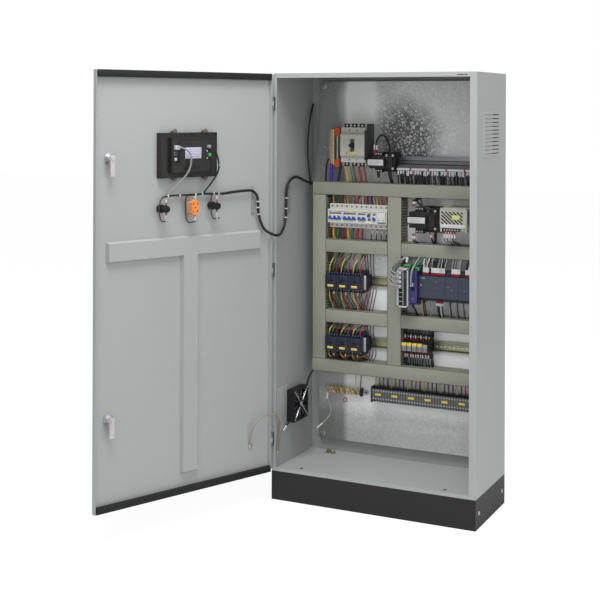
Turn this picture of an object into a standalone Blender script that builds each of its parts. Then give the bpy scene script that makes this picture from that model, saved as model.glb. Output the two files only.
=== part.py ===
"""Industrial switchboard cabinet: sheet-steel body on a plinth, hinged door, mounting plate and its devices.

Metres, +Z up. X runs across the front, Y into the cabinet. The origin is on the floor, at the middle of the
plinth's front foot. The door is modelled closed and turned open about its hinge axis.
"""

import math

import bmesh
import bpy
from mathutils import Matrix, Vector

# Cabinet
WIDTH = 0.698
DEPTH = 0.306
BODY_HEIGHT = 1.306
PLINTH_HEIGHT = 0.094
PLINTH_FOOT = 0.040
PLINTH_SHEET = 0.0025
SHEET = 0.002
EDGE_RADIUS = 0.005
LEFT_FLANGE = 0.014
RIGHT_FLANGE = 0.022
TOP_FLANGE = 0.015
FLOOR_FLANGE = 0.012
GAP = 0.0003

FRONT = -PLINTH_FOOT / 2
BACK = FRONT + DEPTH
LEFT = -WIDTH / 2
RIGHT = WIDTH / 2
FLOOR_Z = PLINTH_HEIGHT
ROOF_Z = PLINTH_HEIGHT + BODY_HEIGHT

# Door
DOOR_SIDE_REVEAL = 0.0113
DOOR_LATCH_REVEAL = 0.0187
DOOR_END_REVEAL = 0.002
DOOR_DEPTH = 0.016
DOOR_SHEET = 0.002
DOOR_STANDOFF = 0.003
DOOR_OPEN_ANGLE = math.radians(112.8)
HINGE_INSET_X = 0.004
HINGE_INSET_Y = 0.011

DOOR_LEFT = LEFT + DOOR_SIDE_REVEAL
DOOR_RIGHT = RIGHT - DOOR_LATCH_REVEAL
DOOR_BOTTOM = FLOOR_Z + DOOR_END_REVEAL
DOOR_TOP = ROOF_Z - DOOR_END_REVEAL
DOOR_REAR = FRONT - DOOR_STANDOFF
DOOR_FRONT = DOOR_REAR - DOOR_DEPTH
DOOR_INNER = DOOR_FRONT + DOOR_SHEET
DOOR_HEIGHT = DOOR_TOP - DOOR_BOTTOM
HINGE_AXIS = Vector((LEFT + HINGE_INSET_X, FRONT - HINGE_INSET_Y, 0))

# Hinges
KNUCKLE_RADIUS = 0.0045
PIN_RADIUS = 0.0020
PIN_CLEARANCE = 0.0001
HINGE_LENGTH = 0.045
HINGE_HEIGHTS = {"hinge_top": 0.925, "hinge_middle": 0.505, "hinge_bottom": 0.078}

# Door fittings, placed about the cabinet's centre line
HMI_SIZE = (0.216, 0.138)
HMI_BEZEL = 0.007
HMI_BODY_DEPTH = 0.018
HMI_BOX_SIZE = (0.153, 0.108)
HMI_BOX_DEPTH = 0.014
HMI_HEIGHT = 0.802
BUTTON_SPACING = 0.0966
BUTTON_HEIGHT = 0.678
BUTTON_TRAVEL = 0.004
ROTARY_X = -0.010
ROTARY_STACK = (0.028, 0.045)
FITTING_HOLE = 0.011
STIFFENER_X = -0.0135
STIFFENER_WIDTH = 0.063
STIFFENER_DEPTH = 0.012
STIFFENER_HEIGHT = 0.585
STIFFENER_FOOT = 0.047
STIFFENER_MARGIN = 0.042
STIFFENER_SHEET = 0.0015
LOCK_INSET = 0.0515
LOCK_HEIGHTS = {"lock_upper": 0.7985, "lock_lower": 0.2070}
LOCK_RADIUS = 0.0105
CAM_LENGTH = 0.052
CAM_WIDTH = 0.016
CAM_THICKNESS = 0.003
CAM_CLEARANCE = 0.0015

# Mounting plate
PLATE_SHEET = 0.002
PLATE_SETBACK = 0.017
PLATE_SIDE_MARGIN = 0.038
PLATE_TOP_MARGIN = 0.022
PLATE_BOTTOM_MARGIN = 0.046
PLATE_BOLT_INSET = 0.015

PLATE_REAR = BACK - SHEET - PLATE_SETBACK
PLATE_FACE = PLATE_REAR - PLATE_SHEET
PLATE_LEFT = LEFT + PLATE_SIDE_MARGIN
PLATE_RIGHT = RIGHT - PLATE_SIDE_MARGIN
PLATE_BOTTOM = FLOOR_Z + PLATE_BOTTOM_MARGIN
PLATE_TOP = ROOF_Z - PLATE_TOP_MARGIN
PLATE_WIDTH = PLATE_RIGHT - PLATE_LEFT
PLATE_HEIGHT = PLATE_TOP - PLATE_BOTTOM
SEAT = PLATE_FACE - GAP

# Wiring ducts: heights and the middle duct's place are shares of the plate
DUCT_FACE = 0.045
UPRIGHT_FACE = 0.050
DUCT_DEPTH = 0.060
DUCT_WALL = 0.002
DUCT_INSET = 0.002
DUCT_LEVELS = {"top": 0.7048, "row1": 0.5465, "row2": 0.3530, "bottom": 0.2153}
MIDDLE_DUCT = 0.4871

DUCT_LOW = {k: PLATE_BOTTOM + v * PLATE_HEIGHT - DUCT_FACE / 2 for k, v in DUCT_LEVELS.items()}
DUCT_HIGH = {k: low + DUCT_FACE for k, low in DUCT_LOW.items()}
DUCTS_LEFT = PLATE_LEFT + DUCT_INSET
DUCTS_RIGHT = PLATE_RIGHT - DUCT_INSET
MIDDLE_LEFT = PLATE_LEFT + MIDDLE_DUCT * PLATE_WIDTH - UPRIGHT_FACE / 2
MIDDLE_RIGHT = MIDDLE_LEFT + UPRIGHT_FACE
CELL_LEFT = DUCTS_LEFT + UPRIGHT_FACE

# DIN rails and modular devices
RAIL_HEIGHT = 0.035
RAIL_BASE = 0.027
RAIL_DEPTH = 0.0075
RAIL_SHEET = 0.001
MODULE = 0.018
MODULE_HEIGHT = 0.081
MODULE_NOSE = 0.045
MODULE_DEPTH = 0.062
MODULE_NOSE_DEPTH = 0.018
TOGGLE_RADIUS = 0.0055
TOGGLE_REACH = 0.0145
TOGGLE_TILT = math.radians(35)
LEVER_PIN = 0.0015
PIN_SEAT = 0.0010
SIDE_CLEARANCE = 0.0004

# Fan
FAN_SIZE = 0.107
FAN_DEPTH = 0.029
FAN_BORE = 0.050
FAN_FROM_FRONT = 0.158
FAN_FROM_FLOOR = 0.189
FAN_BLADES = 7

# Ventilation panels pressed into the side walls
VENT_PROUD = 0.003
VENT_SIZE = (0.168, 0.146)
VENT_SLOTS = 11
VENT_SLOT = 0.0035

parts = bpy.data.collections.new("switchboard_cabinet")
cutters = bpy.data.collections.new("cutters")


# ---------------------------------------------------------------- tools


def material(name, colour, roughness, metallic=0.0):
    made = bpy.data.materials.new(name)
    made.use_nodes = True
    shader = made.node_tree.nodes["Principled BSDF"]
    shader.inputs["Base Color"].default_value = (*colour, 1)
    shader.inputs["Roughness"].default_value = roughness
    shader.inputs["Metallic"].default_value = metallic
    return made


def keep(name, mesh, finish=None, parent=None):
    """Links a mesh as a named part, in its parent's closed position."""
    obj = bpy.data.objects.new(name, mesh)
    parts.objects.link(obj)
    if finish:
        mesh.materials.append(material(name, *finish))
    if parent:
        obj.parent = parent
        obj.matrix_parent_inverse = Matrix.Translation(-parent.location)
    return obj


def box(low, high):
    """A cuboid between two corners."""
    low, high = Vector(low), Vector(high)
    bm = bmesh.new()
    bmesh.ops.create_cube(bm, size=1)
    bmesh.ops.scale(bm, vec=high - low, verts=bm.verts)
    bmesh.ops.translate(bm, vec=(low + high) / 2, verts=bm.verts)
    return finish_mesh(bm)


def tapered(low, high, shrink, axis):
    """A cuboid with one face smaller by shrink all round: axis is 0 to 2, or ~0 to ~2 for the low side."""
    mesh = box(low, high)
    index = axis if axis >= 0 else ~axis
    middle = (Vector(low) + Vector(high)) / 2
    for vertex in mesh.vertices:
        beyond = vertex.co[index] > middle[index]
        if beyond == (axis >= 0):
            for i in range(3):
                if i != index:
                    vertex.co[i] += shrink if vertex.co[i] < middle[i] else -shrink
    return mesh


def rod(start, end, radius, far_radius=None, sides=24):
    """A cylinder or cone from start to end."""
    start, end = Vector(start), Vector(end)
    along = end - start
    bm = bmesh.new()
    bmesh.ops.create_cone(
        bm,
        cap_ends=True,
        segments=sides,
        radius1=radius,
        radius2=radius if far_radius is None else far_radius,
        depth=along.length,
    )
    turn = Vector((0, 0, 1)).rotation_difference(along).to_matrix().to_4x4()
    bmesh.ops.transform(bm, matrix=Matrix.Translation((start + end) / 2) @ turn, verts=bm.verts)
    return finish_mesh(bm)


def finish_mesh(bm):
    mesh = bpy.data.meshes.new("solid")
    bmesh.ops.recalc_face_normals(bm, faces=bm.faces)
    bm.to_mesh(mesh)
    bm.free()
    return mesh


def arc(centre, radius, start, end, steps=4):
    """Points on an arc, angles in degrees."""
    angles = [math.radians(start + (end - start) * i / steps) for i in range(steps + 1)]
    return [(centre[0] + radius * math.cos(a), centre[1] + radius * math.sin(a)) for a in angles]


PLANES = {"x": (math.pi / 2, 0, math.pi / 2), "y": (math.pi / 2, 0, 0), "z": (0, 0, 0)}


def prism(outline, axis, start, end):
    """A flat outline extruded along an axis: (Y, Z) points for x, (X, Z) for y and (X, Y) for z."""
    curve = bpy.data.curves.new("outline", "CURVE")
    curve.dimensions = "2D"
    curve.fill_mode = "BOTH"
    curve.extrude = abs(end - start) / 2
    spline = curve.splines.new("POLY")
    spline.points.add(len(outline) - 1)
    for point, (u, v) in zip(spline.points, outline):
        point.co = (u, v, 0, 1)
    spline.use_cyclic_u = True
    guide = bpy.data.objects.new("outline", curve)
    bpy.context.scene.collection.objects.link(guide)
    bpy.context.view_layer.update()
    mesh = bpy.data.meshes.new_from_object(guide.evaluated_get(bpy.context.evaluated_depsgraph_get()))
    bpy.data.objects.remove(guide)
    bpy.data.curves.remove(curve)
    along = {"x": (1, 0, 0), "y": (0, 1, 0), "z": (0, 0, 1)}[axis]
    turn = Matrix.Rotation(PLANES[axis][2], 4, "Z") @ Matrix.Rotation(PLANES[axis][0], 4, "X")
    bm = bmesh.new()
    bm.from_mesh(mesh)
    bpy.data.meshes.remove(mesh)
    bmesh.ops.remove_doubles(bm, verts=bm.verts, dist=1e-6)
    middle = Matrix.Translation(Vector(along) * (start + end) / 2)
    bmesh.ops.transform(bm, matrix=middle @ turn, verts=bm.verts)
    return finish_mesh(bm)


def combine(obj, operation, meshes):
    """Joins shapes to a part, or cuts them from it, as Boolean modifiers with hidden helpers."""
    for mesh in meshes:
        helper = bpy.data.objects.new(f"{obj.name}_{operation.lower()}", mesh)
        cutters.objects.link(helper)
        helper.hide_render = True
        helper.display_type = "WIRE"
        helper.parent = obj.parent
        helper.matrix_parent_inverse = obj.matrix_parent_inverse
        modifier = obj.modifiers.new(operation.title(), "BOOLEAN")
        modifier.operation = operation
        modifier.solver = "EXACT"
        modifier.object = helper
    return obj


def join(obj, *meshes):
    return combine(obj, "UNION", meshes)


def cut(obj, *meshes):
    return combine(obj, "DIFFERENCE", meshes)


def pivot(name, place, turn=0.0, parent=None):
    """An empty on a joint's axis, for a moving part to hang from."""
    empty = bpy.data.objects.new(name, None)
    parts.objects.link(empty)
    empty.location = place
    empty.rotation_euler.z = turn
    if parent:
        empty.parent = parent
        empty.matrix_parent_inverse = Matrix.Translation(-parent.location)
    return empty


def at_door(share):
    """A height on the door, as a share of its height above its bottom edge."""
    return DOOR_BOTTOM + share * DOOR_HEIGHT


# ---------------------------------------------------------------- cabinet body

PAINT = ((0.42, 0.43, 0.44), 0.45)
PLINTH_PAINT = ((0.03, 0.03, 0.032), 0.5)
ZINC = ((0.55, 0.56, 0.58), 0.35, 0.9)
BLACK_PLASTIC = ((0.015, 0.015, 0.016), 0.45)
GREY_PLASTIC = ((0.45, 0.46, 0.46), 0.5)
DUCT_PLASTIC = ((0.22, 0.22, 0.19), 0.55)
NAVY_PLASTIC = ((0.012, 0.014, 0.035), 0.45)
BRASS = ((0.70, 0.48, 0.20), 0.3, 0.9)
BLUE_PLASTIC = ((0.05, 0.09, 0.40), 0.45)


def side_outline(side, flange):
    """The bent sheet of a side wall seen from above: side is -1 for the left wall, +1 for the right."""
    outer = side * WIDTH / 2
    start, end = (0, -90) if side > 0 else (180, 270)
    centre = (outer - side * EDGE_RADIUS, FRONT + EDGE_RADIUS)
    lip = outer - side * flange
    outline = [(outer, BACK)]
    outline += arc(centre, EDGE_RADIUS, start, end)
    outline += [(lip, FRONT), (lip, FRONT + SHEET)]
    outline += arc(centre, EDGE_RADIUS - SHEET, end, start)
    outline += [(outer - side * SHEET, BACK)]
    return outline


def vent(wall, side, middle_y, middle_z, size):
    """A raised panel with slots through it, pressed outwards from a side wall."""
    outer = side * WIDTH / 2
    half_y, half_z = size[0] / 2, size[1] / 2
    inner_x, outer_x = sorted((outer - side * SHEET / 2, outer + side * VENT_PROUD))
    low = (inner_x, middle_y - half_y, middle_z - half_z)
    high = (outer_x, middle_y + half_y, middle_z + half_z)
    join(wall, tapered(low, high, VENT_PROUD, 0 if side > 0 else ~0))
    pitch = size[1] / (VENT_SLOTS + 1)
    reach_x = sorted((outer - side * 2 * SHEET, outer + side * 3 * VENT_PROUD))
    for i in range(VENT_SLOTS):
        z = middle_z - half_z + (i + 1) * pitch
        slot_low = (reach_x[0], middle_y - 0.88 * half_y, z - VENT_SLOT / 2)
        slot_high = (reach_x[1], middle_y + 0.88 * half_y, z + VENT_SLOT / 2)
        cut(wall, box(slot_low, slot_high))


def side_panels():
    wall_z = (FLOOR_Z + GAP, ROOF_Z)
    left = keep("left_side_panel", prism(side_outline(-1, LEFT_FLANGE), "z", *wall_z), PAINT)
    right = keep("right_side_panel", prism(side_outline(1, RIGHT_FLANGE), "z", *wall_z), PAINT)
    vent(right, 1, FRONT + 0.145, ROOF_Z - 0.1935, VENT_SIZE)
    vent(left, -1, FRONT + FAN_FROM_FRONT, FLOOR_Z + FAN_FROM_FLOOR, (0.120, 0.120))


def end_panels():
    """The roof and the floor, each a sheet with a front flange, between the side walls."""
    inner_left, inner_right = LEFT + SHEET + GAP, RIGHT - SHEET - GAP
    lip_left, lip_right = LEFT + LEFT_FLANGE + GAP, RIGHT - RIGHT_FLANGE - GAP
    behind_corner = FRONT + EDGE_RADIUS
    levels = {
        "top_panel": (ROOF_Z - SHEET, ROOF_Z, ROOF_Z - TOP_FLANGE, ROOF_Z),
        "floor_panel": (FLOOR_Z + GAP, FLOOR_Z + SHEET, FLOOR_Z + GAP, FLOOR_Z + FLOOR_FLANGE),
    }
    for name, (sheet_low, sheet_high, flange_low, flange_high) in levels.items():
        sheet = box((inner_left, behind_corner, sheet_low), (inner_right, BACK - SHEET - GAP, sheet_high))
        panel = keep(name, sheet, PAINT)
        flange = box((lip_left, FRONT, flange_low), (lip_right, FRONT + SHEET, flange_high))
        overlap_low = (lip_left, FRONT + SHEET / 2, sheet_low)
        overlap = box(overlap_low, (lip_right, behind_corner + SHEET, sheet_high))
        join(panel, flange, overlap)


def back_panel():
    low = (LEFT + SHEET + GAP, BACK - SHEET, FLOOR_Z + GAP)
    keep("back_panel", box(low, (RIGHT - SHEET - GAP, BACK, ROOF_Z)), PAINT)


def plinth():
    """A sheet-steel frame, open inside, with feet folded in at the front and the back."""
    ring = keep("plinth", box((LEFT, FRONT, 0), (RIGHT, BACK, PLINTH_HEIGHT)), PLINTH_PAINT)
    t = PLINTH_SHEET
    side = PLINTH_FOOT / 2
    cut(ring, box((LEFT + t, FRONT + t, t), (RIGHT - t, BACK - t, PLINTH_HEIGHT - t)))
    for low_z, high_z in ((-t, 2 * t), (PLINTH_HEIGHT - 2 * t, PLINTH_HEIGHT + t)):
        cut(ring, box((LEFT + side, FRONT + PLINTH_FOOT, low_z), (RIGHT - side, BACK - PLINTH_FOOT, high_z)))


def mounting_plate():
    """The galvanised plate on four bolts that stand off the back wall."""
    low = (PLATE_LEFT, PLATE_FACE, PLATE_BOTTOM)
    plate = keep("mounting_plate", box(low, (PLATE_RIGHT, PLATE_REAR, PLATE_TOP)), ZINC)
    for x in (PLATE_LEFT + PLATE_BOLT_INSET, PLATE_RIGHT - PLATE_BOLT_INSET):
        for z in (PLATE_BOTTOM + PLATE_BOLT_INSET, PLATE_TOP - PLATE_BOLT_INSET):
            spacer = rod((x, PLATE_REAR - PLATE_SHEET / 2, z), (x, BACK - SHEET - GAP, z), 0.007, sides=12)
            head = rod((x, PLATE_FACE - 0.005, z), (x, PLATE_FACE + PLATE_SHEET / 2, z), 0.0065, sides=6)
            join(plate, spacer, head)


# ---------------------------------------------------------------- wiring ducts


def duct(name, low, high, axis):
    """A trunking length with its cover on: a tube open at its two ends."""
    tube = keep(name, box(low, high), DUCT_PLASTIC)
    inner_low = [v + DUCT_WALL for v in low]
    inner_high = [v - DUCT_WALL for v in high]
    inner_low[axis] = low[axis] - DUCT_WALL
    inner_high[axis] = high[axis] + DUCT_WALL
    cut(tube, box(inner_low, inner_high))


def ducts():
    front, rear = PLATE_FACE - DUCT_DEPTH, SEAT

    def across(name, level, start, end):
        duct(name, (start, front, DUCT_LOW[level]), (end, rear, DUCT_HIGH[level]), 0)

    def upright(name, start, end):
        bottom = DUCT_HIGH["bottom"] + GAP
        duct(name, (start, front, bottom), (end, rear, DUCT_LOW["top"] - GAP), 2)

    across("duct_top", "top", DUCTS_LEFT, DUCTS_RIGHT)
    across("duct_bottom", "bottom", DUCTS_LEFT, DUCTS_RIGHT)
    upright("duct_left", DUCTS_LEFT, CELL_LEFT)
    upright("duct_middle", MIDDLE_LEFT, MIDDLE_RIGHT)
    for level in ("row1", "row2"):
        across(f"duct_{level}_left", level, CELL_LEFT + GAP, MIDDLE_LEFT - GAP)
        across(f"duct_{level}_right", level, MIDDLE_RIGHT + GAP, DUCTS_RIGHT)


# ---------------------------------------------------------------- devices on the plate


def between(level_below, level_above):
    """The middle height of the cell between two ducts."""
    return (DUCT_HIGH[level_below] + DUCT_LOW[level_above]) / 2


ROW1_Z = between("row1", "top")
ROW2_Z = between("row2", "row1")
ROW3_Z = between("bottom", "row2")
TOP_ZONE = PLATE_TOP - DUCT_HIGH["top"]


def rail(start, end, middle_z):
    """A 35 mm hat rail's section, extruded along X with its feet on the plate."""
    face = SEAT - RAIL_DEPTH
    brim, crown, sheet = RAIL_HEIGHT / 2, RAIL_BASE / 2, RAIL_SHEET
    upper = [(SEAT, crown), (face + sheet, crown), (face + sheet, brim), (face, brim)]
    upper += [(face, crown - sheet), (SEAT - sheet, crown - sheet)]
    lower = [(y, -z) for y, z in reversed(upper)]
    return prism([(y, middle_z + z) for y, z in upper + lower], "x", start, end)


def stepped_outline(middle_z, steps):
    """A device's side outline: (depth from the plate, total height) from the back to the nose."""
    outline = [(SEAT, middle_z - steps[0][1] / 2)]
    for (depth, height), (_, following) in zip(steps, steps[1:] + [(0, 0)]):
        outline.append((SEAT - depth, middle_z - height / 2))
        if following:
            outline.append((SEAT - depth, middle_z - following / 2))
    mirrored = [(y, 2 * middle_z - z) for y, z in reversed(outline)]
    return outline + mirrored


def railed_outline(middle_z, steps, joined=False):
    """A stepped outline that starts just in front of its rail, or just inside it to be joined to it."""
    rear = SEAT - RAIL_DEPTH + (GAP if joined else -GAP)
    return [(min(y, rear), z) for y, z in stepped_outline(middle_z, steps)]


def crosswise_pin(body, lever, x, half_width, y, z):
    """A pin through a lever, held in blind bores in the walls on its two sides."""
    reach = half_width + SIDE_CLEARANCE + PIN_SEAT
    join(lever, rod((x - reach, y, z), (x + reach, y, z), LEVER_PIN, sides=12))
    reach += SIDE_CLEARANCE
    cut(body, rod((x - reach, y, z), (x + reach, y, z), LEVER_PIN + PIN_CLEARANCE, sides=12))


def breaker_toggle(name, body, x, width, middle_z, up):
    """A rocking lever on a crosswise pin, in a slot cut in the breaker's nose."""
    axis_y = SEAT - MODULE_DEPTH + 0.007
    half = width / 2 + SIDE_CLEARANCE
    slot_low = (x - half, SEAT - MODULE_DEPTH - 0.01, middle_z - 0.0125)
    slot_high = (x + half, axis_y + TOGGLE_RADIUS + 0.0012, middle_z + 0.0125)
    cut(body, box(slot_low, slot_high))
    hinge = pivot(f"{name}_axis", (x, axis_y, middle_z))
    hub = rod((x - width / 2, axis_y, middle_z), (x + width / 2, axis_y, middle_z), TOGGLE_RADIUS, sides=16)
    lever = keep(name, hub, BLUE_PLASTIC if not up else GREY_PLASTIC, hinge)
    tilt = TOGGLE_TILT if up else -TOGGLE_TILT
    arm = tapered(
        (x - width / 2 + 0.0005, axis_y - TOGGLE_REACH, middle_z - 0.0028),
        (x + width / 2 - 0.0005, axis_y, middle_z + 0.0028), 0.0006, ~1)
    about = Matrix.Translation((x, axis_y, middle_z))
    arm.transform(about @ Matrix.Rotation(-tilt, 4, "X") @ about.inverted())
    join(lever, arm)
    crosswise_pin(body, lever, x, width / 2, axis_y, middle_z)


def breakers():
    """Modular breakers from left to right, each on the rail, with its toggle."""
    z = ROW1_Z + 0.005
    steps = [(MODULE_DEPTH - MODULE_NOSE_DEPTH, MODULE_HEIGHT), (MODULE_DEPTH, MODULE_NOSE)]
    outline = railed_outline(z, steps)
    poles = {"breaker_3p_a": 3, "breaker_3p_b": 3, "breaker_2p": 2, "breakers_1p": 2}
    x = CELL_LEFT + 0.008
    for name, count in poles.items():
        end = x + count * MODULE
        body = keep(name, prism(outline, "x", x + GAP / 2, end - GAP / 2), GREY_PLASTIC)
        if name == "breakers_1p":
            breaker_toggle("toggle_1p_a", body, x + MODULE / 2, 0.010, z, True)
            breaker_toggle("toggle_1p_b", body, x + 1.5 * MODULE, 0.010, z, False)
        else:
            width = count * MODULE - 0.008
            breaker_toggle(name.replace("breaker", "toggle"), body, (x + end) / 2, width, z, False)
        x = end
    fuse_holder(x, z, railed_outline(z, steps, joined=True))


def fuse_holder(start, middle_z, outline):
    """A two-pole fuse holder, with the row's rail, whose carrier swings out about its lower edge."""
    end = start + 2 * MODULE
    body = keep("fuse_holder", prism(outline, "x", start + GAP / 2, end - GAP / 2), GREY_PLASTIC)
    join(body, rail(CELL_LEFT + 0.002, MIDDLE_LEFT - 0.001, middle_z))
    nose = SEAT - MODULE_DEPTH
    thickness = 0.010
    half = MODULE - 0.003
    x = start + MODULE
    cut(body, box((x - half, nose - 0.004, middle_z - 0.020), (x + half, nose + thickness, middle_z + 0.018)))
    axis_y = nose + 0.0022
    axis_z = middle_z - 0.015
    half -= SIDE_CLEARANCE
    hinge = pivot("fuse_carrier_axis", (x, axis_y, axis_z))
    front = box((x - half, nose - 0.006, axis_z + 0.0005), (x + half, axis_y + 0.0022, middle_z + 0.017))
    carrier = keep("fuse_carrier", front, GREY_PLASTIC, hinge)
    join(carrier, rod((x - half, axis_y, axis_z), (x + half, axis_y, axis_z), 0.0021, sides=12))
    crosswise_pin(body, carrier, x, half, axis_y, axis_z)


def mccb():
    """The moulded-case main breaker, with a toggle in its raised front."""
    width, height, depth = 0.088, 0.143, 0.086
    middle_x = CELL_LEFT + 0.108
    middle_z = DUCT_HIGH["top"] + 0.371 * TOP_ZONE
    steps = [(depth - 0.022, height), (depth - 0.008, 0.118), (depth, 0.074)]
    outline = stepped_outline(middle_z, steps)
    body = keep("mccb_body", prism(outline, "x", middle_x - width / 2, middle_x + width / 2), GREY_PLASTIC)
    axis_y = SEAT - depth + 0.010
    axis_z = middle_z - 0.001
    half = 0.0075
    slot = half + SIDE_CLEARANCE
    cut(body, box(
        (middle_x - slot, SEAT - depth - 0.01, axis_z - 0.021),
        (middle_x + slot, axis_y + 0.0105, axis_z + 0.021)))
    hinge = pivot("mccb_toggle_axis", (middle_x, axis_y, axis_z))
    hub = rod((middle_x - half, axis_y, axis_z), (middle_x + half, axis_y, axis_z), 0.009, sides=16)
    lever = keep("mccb_toggle", hub, BLACK_PLASTIC, hinge)
    join(lever, tapered(
        (middle_x - 0.0055, axis_y - 0.030, axis_z - 0.0055),
        (middle_x + 0.0055, axis_y, axis_z + 0.0055), 0.0008, ~1))
    crosswise_pin(body, lever, middle_x, half, axis_y, axis_z)


def neutral_bar():
    """A brass bar on two insulating supports."""
    bar_x = CELL_LEFT - 0.004
    z_low = DUCT_HIGH["top"] + 0.057
    z_high = z_low + 0.121
    front = PLATE_FACE - 0.029
    bar = keep("neutral_bar", box((bar_x, front, z_low), (bar_x + 0.019, front + 0.006, z_high)), BRASS)
    for z in (z_low - 0.008, z_high - 0.022):
        join(bar, box((bar_x + 0.009, front + 0.0055, z), (bar_x + 0.037, SEAT, z + 0.027)))


def transformer(name, left, middle_z, size):
    """A small control transformer: its core in front, stepped back above and below, on a narrower bracket."""
    width, height, depth = size
    recess = 0.010
    front = SEAT - depth
    core_low = (left, front + 0.008, middle_z - height / 2)
    core = keep(name, box(core_low, (left + width, SEAT - 0.4 * depth, middle_z + height / 2)), BLACK_PLASTIC)
    nose_low = (left, front, middle_z - height / 2 + recess)
    join(core, box(nose_low, (left + width, front + 0.009, middle_z + height / 2 - recess)))
    foot_low = (left + 0.2 * width, SEAT - 0.41 * depth, middle_z - 0.36 * height)
    join(core, box(foot_low, (left + 0.6 * width, SEAT, middle_z + 0.36 * height)))


def terminal_row(name, start, end, middle_z, rail_z, size):
    """A row of rail terminals: their common section, with the rail that they clip on."""
    height, depth, nose = size
    outline = railed_outline(middle_z, [(depth * 0.62, height), (depth, nose)], joined=True)
    row = keep(name, prism(outline, "x", start + 0.002, end - 0.012), GREY_PLASTIC)
    join(row, rail(start, end, rail_z))


def row1_right():
    """The lower transformer and the enclosed power supply."""
    transformer("transformer_lower", MIDDLE_RIGHT + 0.022, ROW1_Z + 0.003, (0.104, 0.088, 0.070))
    left = MIDDLE_RIGHT + 0.152
    z = ROW1_Z + 0.0115
    low = (left, SEAT - 0.105, z - 0.038)
    supply = keep("power_supply", box(low, (left + 0.089, SEAT, z + 0.038)), ZINC)
    notch_low = (left + 0.006, low[1] - 0.01, low[2] - 0.01)
    cut(supply, box(notch_low, (left + 0.083, low[1] + 0.012, low[2] + 0.012)))


def contactor_row(name, z):
    """Three contactors side by side, clipped on one rail with an end stop."""
    outline = railed_outline(z, [(0.046, 0.074), (0.060, 0.062), (0.080, 0.046)], joined=True)
    start = CELL_LEFT + 0.006
    pitch = 0.044
    row = keep(name, rail(CELL_LEFT + 0.002, MIDDLE_LEFT - 0.020, z), NAVY_PLASTIC)
    for i in range(3):
        left = start + i * pitch
        join(row, prism(outline, "x", left + 0.0004, left + pitch - 0.0004))
    stop_low = (start + 3 * pitch, SEAT - 0.050, z - 0.024)
    join(row, box(stop_low, (start + 3 * pitch + 0.008, SEAT - RAIL_DEPTH + GAP, z + 0.024)))


def row2_right():
    """The network switch, the communication module, the controller and its input and output modules."""
    left = MIDDLE_RIGHT + 0.003
    z = ROW2_Z
    keep("ethernet_switch", box((left, SEAT - 0.104, z - 0.064), (left + 0.039, SEAT, z + 0.064)), ZINC)

    comm = left + 0.0395
    outline = stepped_outline(z + 0.004, [(0.070, 0.122), (0.095, 0.108)])
    keep("comm_module", prism(outline, "x", comm, comm + 0.026), NAVY_PLASTIC)

    cpu = comm + 0.0265
    outline = stepped_outline(z + 0.004, [(0.060, 0.096), (0.075, 0.072)])
    keep("plc_cpu", prism(outline, "x", cpu, cpu + 0.090), NAVY_PLASTIC)

    modules = cpu + 0.0905
    pair = keep("io_modules", prism(outline, "x", modules, modules + 0.0445), NAVY_PLASTIC)
    bridge_low = (modules + 0.040, SEAT - 0.030, z - 0.020)
    join(pair, box(bridge_low, (modules + 0.050, SEAT - 0.010, z + 0.020)))
    join(pair, prism(outline, "x", modules + 0.045, modules + 0.0895))


def relay_row():
    """Five plug-in relays in their sockets, clipped on a rail that runs on beside them."""
    z = ROW3_Z + 0.003
    start = MIDDLE_RIGHT + 0.0016
    pitch = 0.0184
    outline = railed_outline(z, [(0.030, 0.078), (0.038, 0.040), (0.060, 0.026)], joined=True)
    row = keep("relay_row", rail(MIDDLE_RIGHT + 0.001, PLATE_RIGHT - 0.020, z), BLACK_PLASTIC)
    for i in range(5):
        left = start + i * pitch
        join(row, prism(outline, "x", left, left + 0.95 * pitch))


def earth_bar():
    """The copper earth bar on two spacers."""
    z = DUCT_LOW["bottom"] - 0.068
    left = CELL_LEFT - 0.010
    front = PLATE_FACE - 0.020
    bar = keep("earth_bar", box((left, front, z - 0.0105), (left + 0.126, front + 0.005, z + 0.0105)), BRASS)
    for x in (left + 0.012, left + 0.114):
        join(bar, rod((x, front + 0.0045, z), (x, SEAT, z), 0.006, sides=12))


def plate_devices():
    mccb()
    neutral_bar()
    upper = DUCT_HIGH["top"] + 0.070
    transformer("transformer_upper", MIDDLE_LEFT - 0.072, upper, (0.097, 0.066, 0.070))
    terminal_row(
        "terminal_row_upper", MIDDLE_LEFT + 0.028, PLATE_RIGHT - 0.030, upper - 0.025, upper + 0.003,
        (0.034, 0.045, 0.020))
    breakers()
    row1_right()
    contactor_row("contactors_upper", ROW2_Z)
    row2_right()
    contactor_row("contactors_lower", ROW3_Z - 0.005)
    relay_row()
    earth_bar()
    lower = DUCT_LOW["bottom"] - 0.063
    terminal_row(
        "terminal_row_lower", MIDDLE_LEFT - 0.064, PLATE_RIGHT - 0.030, lower, lower, (0.050, 0.045, 0.038))


# ---------------------------------------------------------------- fan on the left wall


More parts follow.
